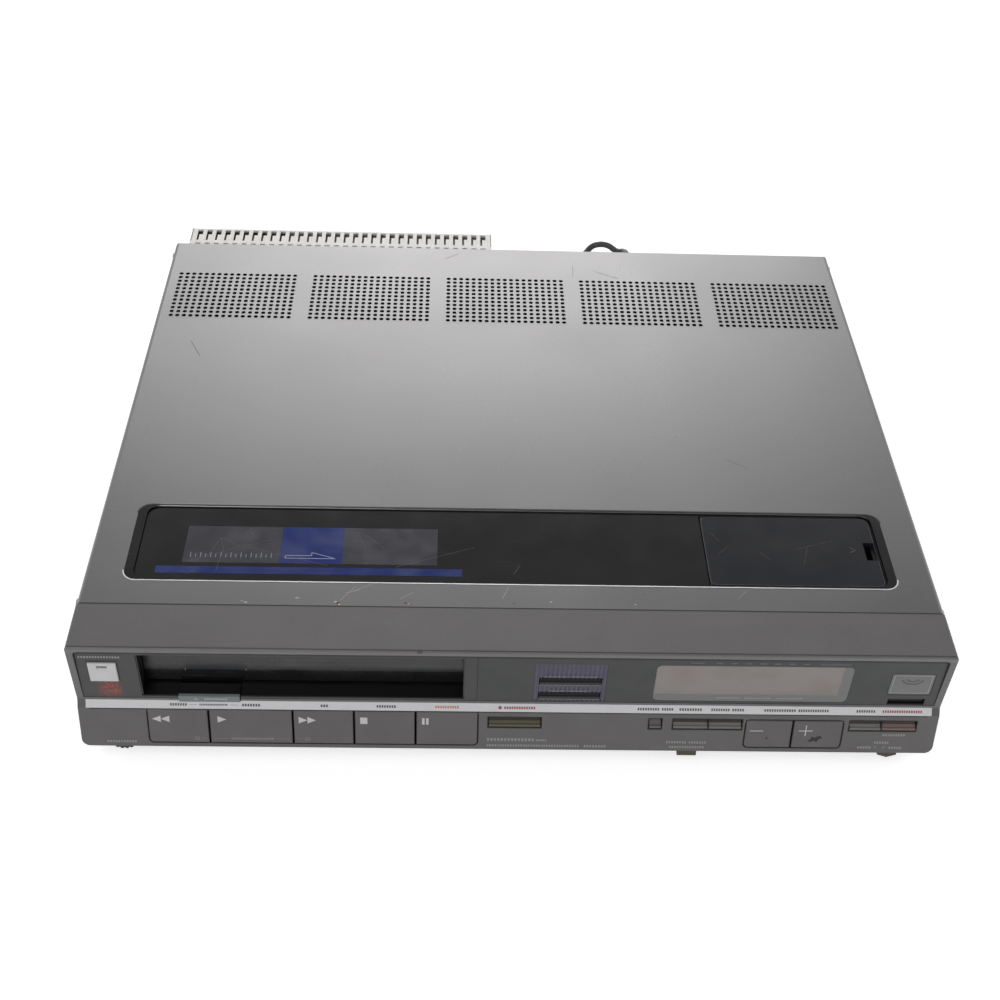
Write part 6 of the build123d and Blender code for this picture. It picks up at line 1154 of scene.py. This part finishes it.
def make_world():
    """Soft even light with a bright backdrop low behind the recorder."""
    world = bpy.data.worlds.new("studio")
    bpy.context.scene.world = world
    world.use_nodes = True
    sky = Shading(world.node_tree)
    place = sky.node("TexCoord").outputs["Generated"]
    split = sky.node("SeparateXYZ", {0: place}).outputs
    behind = sky.span(split["Y"], 0.1, 0.5, kind="SMOOTHSTEP")
    low_band = sky.span(split["Z"], 0.55, 0.665, BACKDROP_LIGHT, 0.0, "SMOOTHSTEP")
    middle = sky.span(sky.math("ABSOLUTE", split["X"]), 0.04, 0.4, 1.0, 0.15, "SMOOTHSTEP")
    strength = sky.math("MULTIPLY_ADD", sky.math("MULTIPLY", behind, middle), low_band, EVEN_LIGHT)
    background = sky.tree.nodes["Background"]
    background.inputs["Color"].default_value = WHITE
    sky.tree.links.new(strength, background.inputs["Strength"])


def make_lamp(name, place, power, size):
    """Square softbox aimed at the recorder."""
    data = bpy.data.lights.new(name, "AREA")
    data.energy = power
    data.size = size
    lamp = bpy.data.objects.new(name, data)
    lamp.location = place
    lamp.rotation_euler = Vector(place).to_track_quat("Z", "Y").to_euler()
    bpy.context.scene.collection.objects.link(lamp)


def dress_nodes():
    """Materials on all the CAD nodes; the cover's and the cage's are given back for the pieces on them."""
    cover = cover_paint()
    cage = enamel()
    keys = moulded("key_paint", linear(104, 101, 102), 0.42, metallic=0.2).done()
    # The second colour of each bar_coat is the painted highlight of its ledge
    bars = bar_coat("bar_plastic", linear(52, 50, 48), linear(118, 116, 112))
    steel = bare_metal("zinc_sheet", linear(178, 180, 182), 0.4, (0.3, 1, 1), 2.0)
    turned = bare_metal("turned_metal", linear(200, 202, 205), 0.25)
    black = moulded("black_plastic", linear(26, 26, 27), 0.3).done()
    reels = moulded("reel_plastic", linear(222, 221, 214), 0.4).done()
    soft = rubber("foot_rubber", linear(34, 34, 34))
    dress(cover, "top_cover", "rear_panel")
    dress(cage, "rear_cage")
    dress(fascia_coat(), "front_fascia")
    dress(panel_coat(), "cassette_bezel")
    dress(display_coat(), "display_panel")
    dress(strip_metal(), "trim_strip")
    dress(keys, "rewind_button", "play_button", "fast_forward_button", "stop_button", "pause_button")
    dress(keys, "program_down_button", "program_up_button", "clock_set_button")
    dress(bars, "check_button", "timer_set_button", "next_button")
    dress(moulded("counter_plastic", linear(18, 17, 22), 0.5).done(), "counter_button", "reset_button")
    dress(bar_coat("olive_plastic", linear(50, 46, 36), linear(94, 89, 72)), "record_button")
    dress(bar_coat("red_plastic", linear(66, 54, 50), linear(120, 100, 96)), "timer_record_button")
    dress(moulded("knob_plastic", linear(74, 68, 54), 0.45).done(), "input_slider", "tone_slider")
    dress(moulded("pale_plastic", linear(232, 231, 232), 0.35).done(), "power_button")
    dress(tab_coat(), "eject_button")
    dress(black, "tracking_wheel", "preset_tray")
    dress(door_plastic(), "cassette_door")
    dress(glazing("smoked_plastic", linear(26, 26, 28)), "top_window")
    dress(glazing("lid_plastic", linear(34, 35, 41), 0.1), "preset_lid")
    dress(pane_plastic(), "display_window")
    dress(sensor_plastic(), "remote_window")
    dress(screen_glass(), "fluorescent_display")
    dress(board_resin(), "front_boards", "main_board")
    dress(steel, "base_chassis", "carriage_rails", "cassette_carriage", "deck_plate", "tuner_modules")
    dress(steel, "drive_motors", "housing_screws")
    dress(turned, "capstan", "cassette_basket", "lower_drum", "upper_drum", "threading_ring", "rear_sockets")
    dress(reels, "supply_reel", "take_up_reel", "tuning_wheel")
    dress(core_iron(), "power_transformer")
    dress(soft, "rubber_feet", "cord_gland", "pinch_roller", "ring_drive_roller")
    dress(rubber("plug_plastic", linear(60, 60, 60), 0.5), "mains_plug")
    return cover, cage


make_camera()
make_cord(rubber("cord_plastic", linear(70, 70, 72), 0.45))
cover_material, cage_material = dress_nodes()
vent_fields(cover_material)
top_prints()
recess_edge()
paint_chips()
button_gap_shades()
transport_symbols()
front_marks()
key_marks()
sensor_rings()
door_marks()
cage_tabs(cage_material)
make_floor()
make_world()
make_lamp("key_light", place=(-0.9, -1.6, 2.1), power=17.0, size=1.4)
make_lamp("fill_light", place=(1.3, -0.9, 1.6), power=5.0, size=1.2)
bpy.context.scene.view_settings.view_transform = "Standard"
